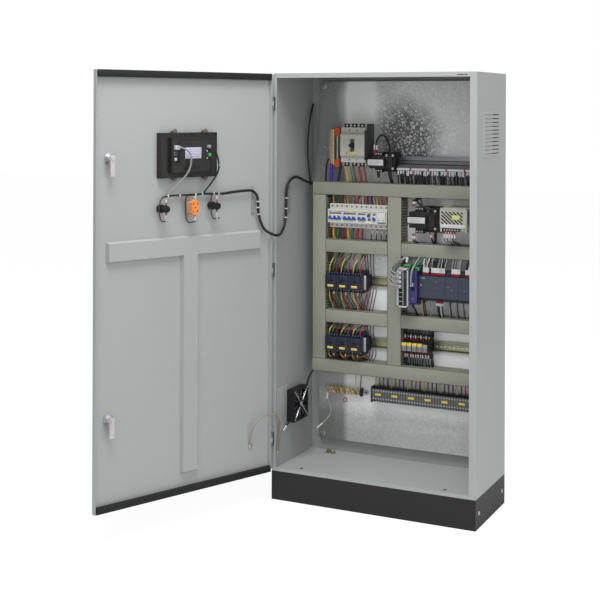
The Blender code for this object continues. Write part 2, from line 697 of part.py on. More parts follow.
def fan():
    """A square axial fan screwed to the left wall, blowing out through the slotted panel."""
    wall = LEFT + SHEET + GAP
    y, z = FRONT + FAN_FROM_FRONT, FLOOR_Z + FAN_FROM_FLOOR
    half = FAN_SIZE / 2
    face = wall + FAN_DEPTH
    frame = keep("fan_frame", box((wall, y - half, z - half), (face, y + half, z + half)), BLACK_PLASTIC)
    cut(frame, rod((wall - 0.01, y, z), (face + 0.01, y, z), FAN_BORE, sides=32))
    motor = 0.019
    for turn in range(2):
        angle = math.radians(45 + 90 * turn)
        reach = Vector((0, math.cos(angle), math.sin(angle))) * (FAN_BORE + 0.002)
        middle = Vector((wall + 0.002, y, z))
        join(frame, rod(middle - reach, middle + reach, 0.0019, sides=8))
    join(frame, rod((wall + 0.0002, y, z), (wall + 0.005, y, z), motor))
    cut(frame, rod((wall - 0.001, y, z), (wall + 0.006, y, z), PIN_RADIUS + PIN_CLEARANCE, sides=16))

    hinge = pivot("fan_axis", (wall, y, z))
    hub_start = wall + 0.0056
    hub = rod((hub_start, y, z), (face - 0.0015, y, z), motor, sides=24)
    rotor = keep("fan_rotor", hub, BLACK_PLASTIC, hinge)
    join(rotor, rod((wall + 0.0015, y, z), (hub_start + 0.002, y, z), PIN_RADIUS, sides=16))
    blade = (FAN_BORE - 0.0025 - motor * 0.8) / 2
    for i in range(FAN_BLADES):
        mesh = box((-0.0006, -0.011, -blade), (0.0006, 0.011, blade))
        radial = Matrix.Translation((0, 0, motor * 0.8 + blade))
        pitch = Matrix.Rotation(math.radians(52), 4, "Z")
        around = Matrix.Rotation(math.tau * i / FAN_BLADES, 4, "X")
        middle = Matrix.Translation(((hub_start + face) / 2, y, z))
        mesh.transform(middle @ around @ radial @ pitch)
        join(rotor, mesh)


# ---------------------------------------------------------------- hinges and door


def hinge_frames():
    """Each frame leaf: a plate on the left flange, a web and two knuckles with the pin through them."""
    x, y = HINGE_AXIS.x, HINGE_AXIS.y
    third = HINGE_LENGTH / 3
    for name, share in HINGE_HEIGHTS.items():
        low = at_door(share) - HINGE_LENGTH / 2
        plate_low = (LEFT + 0.0012, FRONT - GAP - 0.002, low)
        plate_high = (DOOR_LEFT - 0.0015, FRONT - GAP, low + HINGE_LENGTH)
        leaf = keep(name, box(plate_low, plate_high), ZINC)
        for start in (low, low + 2 * third):
            join(leaf, rod((x, y, start), (x, y, start + third), KNUCKLE_RADIUS, sides=16))
            web_low = (x - 0.002, y, start)
            join(leaf, box(web_low, (x + 0.002, FRONT - GAP - 0.001, start + third)))
        join(leaf, rod((x, y, low - 0.001), (x, y, low + HINGE_LENGTH + 0.001), PIN_RADIUS, sides=16))


def door_knuckles(panel):
    """The door's own knuckles, welded to its folded edge, turning on the hinge pins."""
    x, y = HINGE_AXIS.x, HINGE_AXIS.y
    for share in HINGE_HEIGHTS.values():
        low = at_door(share) - HINGE_LENGTH / 6 + GAP
        high = at_door(share) + HINGE_LENGTH / 6 - GAP
        join(panel, box((x, y - 0.002, low), (DOOR_LEFT + DOOR_SHEET / 2, y + 0.002, high)))
        join(panel, rod((x, y, low), (x, y, high), KNUCKLE_RADIUS, sides=16))
        cut(panel, rod((x, y, low - 0.002), (x, y, high + 0.002), PIN_RADIUS + PIN_CLEARANCE, sides=16))


def door_panel(hinge):
    """The folded door: a tray open to the inside, with its fitting holes and hinge knuckles."""
    t = DOOR_SHEET
    outer = box((DOOR_LEFT, DOOR_FRONT, DOOR_BOTTOM), (DOOR_RIGHT, DOOR_REAR, DOOR_TOP))
    panel = keep("door_panel", outer, PAINT, hinge)
    cut(panel, box(
        (DOOR_LEFT + t, DOOR_INNER, DOOR_BOTTOM + t), (DOOR_RIGHT - t, DOOR_REAR + t, DOOR_TOP - t)))
    door_knuckles(panel)
    half_x, half_z = HMI_SIZE[0] / 2 + GAP, HMI_SIZE[1] / 2 + GAP
    z = at_door(HMI_HEIGHT)
    cut(panel, box((-half_x, DOOR_FRONT - t, z - half_z), (half_x, DOOR_INNER + t, z + half_z)))
    for x in (-BUTTON_SPACING, ROTARY_X, BUTTON_SPACING):
        z = at_door(BUTTON_HEIGHT)
        cut(panel, rod((x, DOOR_FRONT - t, z), (x, DOOR_INNER + t, z), FITTING_HOLE + GAP))
    for share in LOCK_HEIGHTS.values():
        x, z = DOOR_RIGHT - LOCK_INSET, at_door(share)
        cut(panel, rod((x, DOOR_FRONT - t, z), (x, DOOR_INNER + t, z), LOCK_RADIUS + PIN_CLEARANCE))


def door_stiffener(hinge):
    """The folded channels welded inside the door as a T: one across, one hanging down from it."""
    near, far = DOOR_INNER + GAP, DOOR_INNER + GAP + STIFFENER_DEPTH
    half = STIFFENER_WIDTH / 2
    left, right = DOOR_LEFT + STIFFENER_MARGIN, DOOR_RIGHT - STIFFENER_MARGIN
    z = at_door(STIFFENER_HEIGHT)
    foot = at_door(STIFFENER_FOOT)
    slope = 0.005
    across = tapered((left, near, z - half), (right, far, z + half), slope, 1)
    channel = keep("door_stiffener", across, PAINT, hinge)
    join(channel, tapered((STIFFENER_X - half, near, foot), (STIFFENER_X + half, far, z), slope, 1))
    t = STIFFENER_SHEET
    hollow_across = tapered(
        (left + t, near - 0.001, z - half + t), (right - t, far - t, z + half - t), slope, 1)
    hollow_down = tapered(
        (STIFFENER_X - half + t, near - 0.001, foot + t), (STIFFENER_X + half - t, far - t, z), slope, 1)
    cut(channel, hollow_across, hollow_down)


def hmi(hinge):
    """The operator panel: bezel outside the door, body through the cut-out, raised box behind."""
    half_x, half_z = HMI_SIZE[0] / 2, HMI_SIZE[1] / 2
    z = at_door(HMI_HEIGHT)
    rim = 0.008
    rear = DOOR_INNER + HMI_BODY_DEPTH
    body = box((-half_x, DOOR_FRONT - HMI_BEZEL / 2, z - half_z), (half_x, rear, z + half_z))
    panel = keep("hmi", body, BLACK_PLASTIC, hinge)
    bezel_low = (-half_x - rim, DOOR_FRONT - HMI_BEZEL, z - half_z - rim)
    join(panel, box(bezel_low, (half_x + rim, DOOR_FRONT - GAP, z + half_z + rim)))
    box_x, box_z = HMI_BOX_SIZE[0] / 2, HMI_BOX_SIZE[1] / 2
    box_high = (box_x, rear + HMI_BOX_DEPTH, z + box_z)
    join(panel, tapered((-box_x, rear - 0.001, z - box_z), box_high, 0.001, 1))


def push_button(name, x, hinge):
    """A contact block behind the door, its collar outside, and the cap that is pushed in."""
    z = at_door(BUTTON_HEIGHT)
    barrel = rod((x, DOOR_FRONT - 0.001, z), (x, DOOR_INNER + 0.041, z), 0.0103)
    block = keep(f"contact_block_{name}", barrel, BLACK_PLASTIC, hinge)
    join(block, rod((x, DOOR_FRONT - 0.006, z), (x, DOOR_FRONT - GAP, z), 0.015))
    join(block, rod((x, DOOR_INNER + GAP, z), (x, DOOR_INNER + 0.013, z), 0.013))
    bore = 0.0092
    depth = DOOR_FRONT + 0.005
    cut(block, rod((x, DOOR_FRONT - 0.02, z), (x, depth, z), bore))
    place = pivot(f"button_{name}_axis", (x, DOOR_FRONT, z), parent=hinge)
    cap_end = depth - BUTTON_TRAVEL - 0.0005
    cap = rod((x, DOOR_FRONT - 0.009, z), (x, cap_end, z), bore - PIN_CLEARANCE)
    keep(f"button_{name}", cap, BLACK_PLASTIC, place)


def rotary_switch(hinge):
    """The isolator: base and switch stack behind the door, plate and turning handle in front."""
    z = at_door(BUTTON_HEIGHT)
    x = ROTARY_X
    neck = rod((x, DOOR_FRONT - 0.001, z), (x, DOOR_INNER + 0.006, z), FITTING_HOLE)
    switch = keep("rotary_switch", neck, GREY_PLASTIC, hinge)
    plate = 0.024
    join(switch, box((x - plate, DOOR_FRONT - 0.003, z - plate), (x + plate, DOOR_FRONT - GAP, z + plate)))
    join(switch, box((x - 0.013, DOOR_INNER + GAP, z - 0.019), (x + 0.013, DOOR_INNER + 0.024, z + 0.019)))
    half_x, half_z, corner = ROTARY_STACK[0] / 2, ROTARY_STACK[1] / 2, 0.008
    quarter = [(half_x, half_z - corner), (half_x - corner, half_z)]
    quarter += [(-u, v) for u, v in reversed(quarter)]
    outline = [(x + u, z + v) for u, v in quarter + [(-u, -v) for u, v in quarter]]
    join(switch, prism(outline, "y", DOOR_INNER + 0.0235, DOOR_INNER + 0.038))
    bore = 0.0042
    cut(switch, rod((x, DOOR_FRONT - 0.01, z), (x, DOOR_FRONT + 0.006, z), bore, sides=16))
    place = pivot("rotary_knob_axis", (x, DOOR_FRONT, z), parent=hinge)
    hub_front = DOOR_FRONT - 0.003 - GAP
    knob = keep("rotary_knob", rod((x, hub_front - 0.006, z), (x, hub_front, z), 0.018), BLACK_PLASTIC, place)
    join(knob, rod((x, hub_front - 0.002, z), (x, DOOR_FRONT + 0.005, z), bore - PIN_CLEARANCE, sides=16))
    join(knob, box((x - 0.005, hub_front - 0.018, z - 0.021), (x + 0.005, hub_front - 0.005, z + 0.021)))


def locks(hinge):
    """Quarter-turn cam locks near the free edge; a cam points down when open and latches behind the frame."""
    x = DOOR_RIGHT - LOCK_INSET
    cam_near = FRONT + SHEET + CAM_CLEARANCE
    cam_far = cam_near + CAM_THICKNESS
    for name, share in LOCK_HEIGHTS.items():
        z = at_door(share)
        place = pivot(f"{name}_axis", (x, DOOR_FRONT, z), parent=hinge)
        barrel = rod((x, DOOR_FRONT - 0.001, z), (x, cam_near + 0.001, z), LOCK_RADIUS)
        insert = keep(name, barrel, ZINC, place)
        join(insert, rod((x, DOOR_FRONT - 0.003, z), (x, DOOR_FRONT - GAP, z), 0.013))
        half = CAM_WIDTH / 2
        join(insert, box((x - half, cam_near, z - CAM_LENGTH), (x + half, cam_far, z + half)))
        join(insert, rod((x, cam_far - 0.001, z), (x, cam_far + 0.004, z), 0.006, sides=6))


def door():
    hinge = pivot("door_hinge_axis", HINGE_AXIS, -DOOR_OPEN_ANGLE)
    door_panel(hinge)
    door_stiffener(hinge)
    hmi(hinge)
    push_button("left", BUTTON_SPACING, hinge)
    push_button("right", -BUTTON_SPACING, hinge)
    rotary_switch(hinge)
    locks(hinge)


# ---------------------------------------------------------------- cables between the door and the body

HARNESS_DIAMETER = 0.0085
EARTH_DIAMETER = 0.0045

# The plate depth behind the front edge, and the duct depth, that the routes were laid out for
ROUTE_DEPTH = 0.285
ROUTE_DUCT_DEPTH = 0.060

# Routes run from the door to the body: offsets from the body's left front edge, the harness in height from
# the top duct's upper face and the earth cable from the body's floor. Points inside keep their share of the
# room in front of the ducts, or of the duct's own depth.
HARNESS_ROUTE = [
    (-0.0715, -0.2070, -0.0245), (-0.0515, -0.1560, -0.0175), (-0.0296, -0.1076, -0.0145),
    (-0.0225, -0.0906, -0.0195), (-0.0172, -0.0781, -0.0330), (-0.0153, -0.0735, -0.0515),
    (-0.0150, -0.0730, -0.0710), (-0.0140, -0.0715, -0.0930), (-0.0095, -0.0625, -0.1230),
    (-0.0010, -0.0490, -0.1470), (0.0145, -0.0245, -0.1620), (0.0200, 0.0000, -0.1670),
    (0.0155, 0.0326, -0.1620), (0.0120, 0.0601, -0.1430), (0.0110, 0.0743, -0.1150),
    (0.0110, 0.0779, -0.0850), (0.0110, 0.0789, -0.0500), (0.0110, 0.0804, -0.0230),
    (0.0112, 0.0926, -0.0020), (0.0120, 0.1201, 0.0140), (0.0135, 0.1517, 0.0170),
    (0.0175, 0.1903, 0.0060), (0.0255, 0.2199, -0.0040), (0.0370, 0.2392, -0.0065),
    (0.0530, 0.2484, -0.0065), (0.0690, 0.2504, -0.0065),
]
EARTH_ROUTE = [
    (-0.0337, -0.0917, 0.0940), (-0.0320, -0.0925, 0.1070), (-0.0280, -0.0940, 0.1280),
    (-0.0230, -0.0940, 0.1480), (-0.0160, -0.0910, 0.1660), (-0.0070, -0.0820, 0.1830),
    (0.0025, -0.0630, 0.1930), (0.0095, -0.0360, 0.1930), (0.0145, -0.0150, 0.1875),
    (0.0178, 0.0031, 0.1790), (0.0160, 0.0214, 0.1650), (0.0120, 0.0336, 0.1450),
    (0.0085, 0.0366, 0.1210), (0.0065, 0.0336, 0.0950), (0.0050, 0.0316, 0.0700),
    (0.0045, 0.0305, 0.0470),
]


def placed_route(offsets, base_z):
    """A route's points in world positions."""
    laid_face = ROUTE_DEPTH - ROUTE_DUCT_DEPTH
    duct_face = PLATE_FACE - FRONT - DUCT_DEPTH
    placed = []
    for x, y, z in offsets:
        if y > laid_face:
            y = duct_face + (y - laid_face) * DUCT_DEPTH / ROUTE_DUCT_DEPTH
        elif y > 0:
            y *= duct_face / laid_face
        placed.append((LEFT + x, FRONT + y, base_z + z))
    return placed


def smooth_route(points, spacing):
    """Points about every spacing along the Catmull-Rom curve through a route."""
    route = [Vector(p) for p in points]
    ends = [2 * route[0] - route[1]] + route + [2 * route[-1] - route[-2]]
    found = []
    for a, b, c, d in zip(ends, ends[1:], ends[2:], ends[3:]):
        steps = max(1, round((c - b).length / spacing))
        for i in range(steps):
            t = i / steps
            squared, cubed = 2 * a - 5 * b + 4 * c - d, 3 * b - a - 3 * c + d
            found.append(0.5 * (2 * b + (c - a) * t + squared * t * t + cubed * t**3))
    return found + [route[-1]]


def cable(name, route, diameter, finish):
    curve = bpy.data.curves.new(name, "CURVE")
    curve.dimensions = "3D"
    curve.bevel_depth = diameter / 2
    curve.bevel_resolution = 2
    curve.use_fill_caps = True
    points = smooth_route(route, 2.5 * diameter)
    spline = curve.splines.new("POLY")
    spline.points.add(len(points) - 1)
    for point, place in zip(spline.points, points):
        point.co = (*place, 1)
    curve.materials.append(material(name, *finish))
    parts.objects.link(bpy.data.objects.new(name, curve))


def main():
    for obj in list(bpy.data.objects):
        bpy.data.objects.remove(obj, do_unlink=True)
    bpy.context.scene.collection.children.link(parts)
    bpy.context.scene.collection.children.link(cutters)
    side_panels()
    end_panels()
    back_panel()
    plinth()
    mounting_plate()
    ducts()
    plate_devices()
    fan()
    hinge_frames()
    door()
    harness = placed_route(HARNESS_ROUTE, DUCT_HIGH["top"])
    cable("door_harness", harness, HARNESS_DIAMETER, BLACK_PLASTIC)
    earth = placed_route(EARTH_ROUTE, FLOOR_Z)
    cable("earth_cable", earth, EARTH_DIAMETER, ((0.30, 0.29, 0.22), 0.5))
    for obj in parts.objects:
        if obj.type == "MESH":
            obj.data.shade_smooth()
            obj.data.set_sharp_from_angle(angle=math.radians(30))


main()
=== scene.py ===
"""Industrial switchboard cabinet: the finished look of the cabinet, its door and the gear on its plate."""

import math
import random

import bpy
from mathutils import Matrix, Vector


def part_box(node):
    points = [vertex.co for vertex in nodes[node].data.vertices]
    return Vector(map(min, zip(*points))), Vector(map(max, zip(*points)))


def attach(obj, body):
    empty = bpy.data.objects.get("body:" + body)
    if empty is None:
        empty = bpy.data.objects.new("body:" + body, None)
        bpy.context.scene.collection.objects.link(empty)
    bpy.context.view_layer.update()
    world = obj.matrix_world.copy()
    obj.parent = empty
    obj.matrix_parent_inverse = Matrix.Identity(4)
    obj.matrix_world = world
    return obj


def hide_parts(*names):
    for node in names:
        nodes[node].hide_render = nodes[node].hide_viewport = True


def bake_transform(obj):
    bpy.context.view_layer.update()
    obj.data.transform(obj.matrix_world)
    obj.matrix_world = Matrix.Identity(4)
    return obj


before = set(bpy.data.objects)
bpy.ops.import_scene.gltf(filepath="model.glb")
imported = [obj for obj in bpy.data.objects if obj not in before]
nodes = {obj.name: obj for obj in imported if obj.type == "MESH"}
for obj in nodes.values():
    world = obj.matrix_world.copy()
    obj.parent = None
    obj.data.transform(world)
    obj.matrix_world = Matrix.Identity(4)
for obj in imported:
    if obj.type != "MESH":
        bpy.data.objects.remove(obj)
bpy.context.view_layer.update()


# ---------------------------------------------------------------- camera
# A long lens stands to the right of the cabinet at the height of its upper duct, level with the floor, and is
# shifted down so that the upright edges stay upright.

bpy.ops.object.select_all(action="DESELECT")
bpy.ops.object.camera_add()
camera = bpy.context.object
yaw, roll = math.radians(-26.008), math.radians(0.208)
ahead = Vector((math.sin(yaw), math.cos(yaw), 0))
side, up = Vector((math.cos(yaw), -math.sin(yaw), 0)), Vector((0, 0, 1))
across = side * math.cos(roll) + up * math.sin(roll)
upright = up * math.cos(roll) - side * math.sin(roll)
facing = Matrix((across, upright, -ahead)).transposed().to_4x4()
camera.matrix_world = Matrix.Translation((1.4948, -3.5961, 1.2896)) @ facing
camera.data.lens = 73.323
camera.data.shift_y = -0.3216
bpy.context.scene.camera = camera
bpy.context.scene.view_settings.view_transform = "Standard"


# ---------------------------------------------------------------- studio
# A plain white floor under an even sky, and three soft boxes: a broad one in front, one on the right for the side
# wall, and one above.


def linear(code):
    """An sRGB hex colour as linear red, green, blue and alpha."""
    channels = [int(code[i:i + 2], 16) / 255 for i in (0, 2, 4)]
    return [*(c / 12.92 if c < 0.04045 else ((c + 0.055) / 1.055) ** 2.4 for c in channels), 1.0]


def add_node(owner, kind, links, **settings):
    """Adds a shader node: settings are its properties, links feed its sockets with values, sockets or nodes."""
    made = owner.node_tree.nodes.new("ShaderNode" + kind)
    for key, value in settings.items():
        setattr(made, key, value)
    for socket, value in links.items():
        if isinstance(value, bpy.types.Node):
            value = value.outputs[0]
        if isinstance(value, bpy.types.NodeSocket):
            owner.node_tree.links.new(value, made.inputs[socket])
        else:
            made.inputs[socket].default_value = value
    return made


world = bpy.data.worlds.new("studio")
bpy.context.scene.world = world
world.use_nodes = True
world.node_tree.nodes.clear()
rays = add_node(world, "LightPath", {})
seen = add_node(world, "Math", {0: rays.outputs["Is Camera Ray"], 1: rays.outputs["Is Transmission Ray"]},
    operation="MAXIMUM")
level = add_node(world, "MapRange", {"Value": seen, "To Min": 0.58, "To Max": 1.0})
sky = add_node(world, "Background", {"Color": (1, 1, 1, 1), "Strength": level})
add_node(world, "OutputWorld", {"Surface": sky})

for name, spot, aim, size, power in (
    ("front_box", (0.9, -3.6, 2.6), (0.0, 0.0, 0.7), 2.2, 6),
    ("right_box", (3.2, -0.6, 1.9), (0.3, 0.1, 0.7), 1.8, 22),
    ("top_box", (0.2, -1.3, 3.4), (0.0, 0.1, 0.3), 1.4, 78),
):
    bpy.ops.object.light_add(type="AREA", location=spot)
    lamp = bpy.context.object
    lamp.name = name
    lamp.data.size = size
    lamp.data.energy = power
    lamp.rotation_euler = (Vector(aim) - Vector(spot)).to_track_quat("-Z", "Y").to_euler()

bpy.ops.mesh.primitive_plane_add(size=30, location=(0, 0, 0))
floor = bpy.context.object
floor.name = "studio_floor"
white = bpy.data.materials.new("white studio floor")
white.use_nodes = True
white.node_tree.nodes.clear()
rays = add_node(white, "LightPath", {})
lit = add_node(white, "BsdfDiffuse", {"Color": (0.8, 0.8, 0.8, 1)})
glow = add_node(white, "Emission", {"Color": (1, 1, 1, 1), "Strength": 1.12})
share = add_node(white, "Math", {0: rays.outputs["Is Camera Ray"], 1: 0.8}, operation="MULTIPLY")
mixed = add_node(white, "MixShader", {0: share, 1: lit, 2: glow})
add_node(white, "OutputMaterial", {"Surface": mixed})
floor.data.materials.append(white)


# ---------------------------------------------------------------- painted sheet steel
# Body, door and stiffener are folded from 2 mm steel and coated with light grey polyester powder, which leaves a
# fine orange peel and a soft sheen.


def coat(name, colour, roughness, metallic=0.0, grain=0.0012, relief=0.00002, tone=0.05, patch=0.15):
    """A finish with fine grain in its relief and a slow drift in its tone; grain and patch are sizes in metres."""
    made = bpy.data.materials.new(name)
    made.use_nodes = True
    shader = made.node_tree.nodes["Principled BSDF"]
    place = add_node(made, "TexCoord", {}).outputs["Object"]
    broad = add_node(made, "TexNoise", {"Vector": place, "Scale": 1 / patch, "Detail": 3.0})
    ramp = add_node(made, "ValToRGB", {"Fac": broad.outputs["Fac"]})
    base = linear(colour)
    for stop, position, shade in zip(ramp.color_ramp.elements, (0.3, 0.7), (1 - tone, 1 + tone)):
        stop.position = position
        stop.color = [*(min(1, c * shade) for c in base[:3]), 1]
    fine = add_node(made, "TexNoise", {"Vector": place, "Scale": 1 / grain, "Detail": 2.0})
    rough = add_node(made, "MapRange", {
        "Value": fine.outputs["Fac"], "To Min": max(0.05, roughness - 0.06), "To Max": roughness + 0.06})
    bump = add_node(made, "Bump", {"Height": fine.outputs["Fac"], "Distance": relief, "Strength": 0.6})
    links = made.node_tree.links
    links.new(ramp.outputs["Color"], shader.inputs["Base Color"])
    links.new(rough.outputs["Result"], shader.inputs["Roughness"])
    links.new(bump.outputs["Normal"], shader.inputs["Normal"])
    shader.inputs["Metallic"].default_value = metallic
    return made


def dress(finish, *names):
    """Gives carried-over pieces a finish."""
    for name in names:
        for place in nodes[name].material_slots:
            place.material = finish


powder_coat = coat("light grey polyester powder coat", "a2a6a5", 0.42, relief=0.00003, tone=0.02, patch=0.35)
dress(powder_coat, "left_side_panel", "right_side_panel", "top_panel", "floor_panel", "back_panel")
dress(powder_coat, "door_panel", "door_stiffener")


# ---------------------------------------------------------------- plinth
# A folded frame of 2.5 mm steel under the body, coated in black powder and bolted at its corners.

plinth_coat = coat("charcoal powder coat", "131214", 0.5, relief=0.00003, tone=0.06)
dress(plinth_coat, "plinth")
zinc = coat("bright zinc-plated steel", "b9bcc0", 0.28, 0.9, tone=0.08, patch=0.01)


def open_piece(name, *finishes):
    """Starts a piece with its finishes and opens it for editing."""
    bpy.ops.object.select_all(action="DESELECT")
    bpy.ops.mesh.primitive_plane_add(size=0.001)
    made = bpy.context.object
    made.name = made.data.name = name
    for finish in finishes:
        made.data.materials.append(finish)
    bpy.ops.object.mode_set(mode="EDIT")
    bpy.ops.mesh.delete(type="VERT")
    return made


def drum(start, end, radius, finish=0, sides=16, far_radius=None):
    """Adds a cylinder or cone from start to end."""
    start, end = Vector(start), Vector(end)
    along = end - start
    bpy.ops.mesh.select_all(action="DESELECT")
    bpy.ops.mesh.primitive_cone_add(
        vertices=sides, radius1=radius, radius2=radius if far_radius is None else far_radius,
            depth=along.length,
        location=(start + end) / 2, rotation=along.to_track_quat("Z", "Y").to_euler())
    bpy.context.object.active_material_index = finish
    bpy.ops.object.material_slot_assign()


open_angle = math.radians(112.8)
hinge_x, hinge_y = -0.345, -0.031
hinge_place = Matrix.Translation((hinge_x, hinge_y, 0))
door_turn = hinge_place @ Matrix.Rotation(-open_angle, 4, "Z") @ hinge_place.inverted()


def close_piece(made, body, bevel=0.0004, on_door=False):
    """Leaves editing, rounds the edges, turns a door piece open with the door, and hangs the piece on its body."""
    bpy.ops.object.mode_set(mode="OBJECT")
    if bevel:
        rounding = made.modifiers.new("edges", "BEVEL")
        rounding.width = bevel
        rounding.segments = 2
        rounding.angle_limit = math.radians(40)
        bpy.ops.object.modifier_apply(modifier=rounding.name)
    if on_door:
        made.data.transform(door_turn)
    bpy.ops.object.select_all(action="DESELECT")
    made.select_set(True)
    bpy.context.view_layer.objects.active = made
    bpy.ops.object.transform_apply(location=True, rotation=True, scale=True)
    bpy.ops.object.shade_smooth_by_angle(angle=math.radians(35))
    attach(made, body)
    return made


bolts = open_piece("plinth_bolts", zinc)
for end in (-1, 1):
    for y in (0.012, 0.254):
        drum((end * 0.3486, y, 0.047), (end * 0.35, y, 0.047), 0.0068)
        drum((end * 0.349, y, 0.047), (end * 0.3516, y, 0.047), 0.0048, sides=6)
close_piece(bolts, "cabinet", 0.0003)


# ---------------------------------------------------------------- galvanised mounting plate
# Hot-dip galvanised sheet: zinc crystals about 5 mm across, each with its own tone. Over that lies painted light:
# a painted dark reflection in one broad patch, painted light and shade that make it brighter low down and darker
# at the far left beside the side wall, and a painted highlight at the upper left.

galvanised = bpy.data.materials.new("hot-dip galvanised sheet")
galvanised.use_nodes = True
shader = galvanised.node_tree.nodes["Principled BSDF"]
place = add_node(galvanised, "TexCoord", {}).outputs["Object"]
crystal_size = 0.005
crystals = add_node(galvanised, "TexVoronoi", {"Vector": place, "Scale": 1 / crystal_size, "Randomness": 1.0})
tones = add_node(galvanised, "SeparateColor", {"Color": crystals.outputs["Color"]})
cell_tone = add_node(galvanised, "MapRange", {"Value": tones, "To Min": 0.86, "To Max": 1.06})
# Painted dark reflection: one broad patch, broken up by cloud noise, is darkened except for its brightest
# crystals.
reflection_reach, reflection_rise = 0.15, 0.165
dull = add_node(galvanised, "Mapping", {
    "Vector": place, "Location": (-0.1, -0.265 / reflection_reach, -1.18 / reflection_rise),
    "Scale": (1 / reflection_reach, 1 / reflection_reach, 1 / reflection_rise)})
patch = add_node(galvanised, "TexGradient", {"Vector": dull}, gradient_type="SPHERICAL")
cloud = add_node(galvanised, "TexNoise", {"Vector": place, "Scale": 9.0, "Detail": 4.0})
clouded = add_node(galvanised, "Math", {0: cloud.outputs["Fac"], 1: 0.5, 2: -0.25}, operation="MULTIPLY_ADD")
masked = add_node(galvanised, "Math", {0: patch.outputs["Fac"], 1: clouded}, operation="ADD")
dark_reflection_mask = add_node(galvanised, "MapRange", {"Value": masked, "From Min": 0.05, "From Max": 0.55})
sparks = add_node(galvanised, "MapRange",
    {"Value": tones.outputs[1], "From Min": 0.6, "From Max": 1.0, "To Max": 0.8})
dark = add_node(galvanised, "MapRange", {"Value": sparks, "To Min": 0.15, "To Max": 1.1})
less = add_node(galvanised, "Math", {0: 1.0, 1: dark}, operation="SUBTRACT")
drop = add_node(galvanised, "Math", {0: dark_reflection_mask, 1: less}, operation="MULTIPLY")
keep = add_node(galvanised, "Math", {0: 1.0, 1: drop}, operation="SUBTRACT")
tone = add_node(galvanised, "Math", {0: keep, 1: cell_tone}, operation="MULTIPLY")
# Painted light and shade: the tone follows height, brightest low down and darker towards the top and the very
# foot, and drops at the far left beside the side wall.
spot = add_node(galvanised, "SeparateXYZ", {"Vector": place})
height = add_node(galvanised, "MapRange", {"Value": spot.outputs[2], "From Min": 0.1, "From Max": 1.4})
painted_height_light = add_node(galvanised, "ValToRGB", {"Fac": height})
across = add_node(galvanised, "MapRange", {"Value": spot, "From Min": -0.32, "From Max": 0.0})
painted_far_left_shade = add_node(galvanised, "ValToRGB", {"Fac": across})
for ramp, stops in (
    (painted_height_light, ((0.06, 0.5), (0.1, 0.62), (0.15, 1.25), (0.3, 1.2), (0.6, 1.0), (0.72, 0.86), (0.8, 0.78),
    (1.0, 0.76))),
    (painted_far_left_shade, ((0.0, 0.38), (0.31, 0.42), (0.38, 0.96), (0.62, 1.0), (0.72, 1.0), (1.0, 1.1))),
):
    for _ in stops[2:]:
        ramp.color_ramp.elements.new(0.5)
    for stop, (position, level) in zip(ramp.color_ramp.elements, stops):
        stop.position, stop.color = position, (level, level, level, 1)
drift = add_node(galvanised, "Math", {0: painted_height_light, 1: painted_far_left_shade}, operation="MULTIPLY")
shade = add_node(galvanised, "Math", {0: tone, 1: drift}, operation="MULTIPLY")
# Painted highlight: a soft bright spot at the upper left of the plate.
highlight_reach, highlight_rise = 0.085, 0.13
bright = add_node(galvanised, "Mapping", {
    "Vector": place, "Location": (0.165 / highlight_reach, -0.265 / highlight_reach, -1.31 / highlight_rise),
    "Scale": (1 / highlight_reach, 1 / highlight_reach, 1 / highlight_rise)})
painted_highlight = add_node(galvanised, "TexGradient", {"Vector": bright}, gradient_type="SPHERICAL")
lifted = add_node(galvanised, "Math", {0: painted_highlight.outputs["Fac"], 1: 0.9, 2: shade}, operation="MULTIPLY_ADD")
capped = add_node(galvanised, "Math", {0: lifted, 1: 1.0}, operation="MINIMUM")
steel = add_node(galvanised, "VectorMath", {0: linear("f6f7f8")[:3], "Scale": capped}, operation="SCALE")
rough = add_node(galvanised, "MapRange", {"Value": tones.outputs[2], "To Min": 0.34, "To Max": 0.55})
grain = add_node(galvanised, "Bump", {"Height": tones, "Distance": 0.00005, "Strength": 0.3})
galvanised.node_tree.links.new(steel.outputs[0], shader.inputs["Base Color"])
galvanised.node_tree.links.new(rough.outputs[0], shader.inputs["Roughness"])
galvanised.node_tree.links.new(grain.outputs[0], shader.inputs["Normal"])
shader.inputs["Metallic"].default_value = 0.1
dress(galvanised, "mounting_plate")


def stud(x, z, near, far, radius, finish=0, sides=16):
    """Adds a round part that points forwards, from one depth to another."""
    drum((x, near, z), (x, far, z), radius, finish, sides)


plate_low, plate_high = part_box("mounting_plate")
plate_face = 0.2649
fixings = open_piece("plate_washers", zinc)
for x in (plate_low[0] + 0.015, plate_high[0] - 0.015):
    for z in (plate_low[2] + 0.015, plate_high[2] - 0.015):
        stud(x, z, plate_face, 0.2634, 0.0105, sides=24)
        stud(x, z, 0.2605, 0.259, 0.0042, sides=12)
close_piece(fixings, "cabinet", 0.0003)


# ---------------------------------------------------------------- wiring ducts
# Extruded grey PVC trunking: a base with a comb of fingers along both walls and a lid snapped on, which hides all
# of the front. The lid is smooth and nearly matt.

duct_plastic = coat("warm grey PVC trunking", "8f9084", 0.5, tone=0.03, patch=0.08)
finger_pitch, finger_width, duct_wall = 0.0095, 0.0056, 0.0016


def block(low, high, finish=0, turn=(0, 0, 0)):
    """Adds a block between two corners, turned about its own middle."""
    low, high = Vector(low), Vector(high)
    bpy.ops.mesh.select_all(action="DESELECT")
    bpy.ops.mesh.primitive_cube_add(size=1, location=(low + high) / 2, scale=high - low, rotation=turn)
    bpy.context.object.active_material_index = finish
    bpy.ops.object.material_slot_assign()


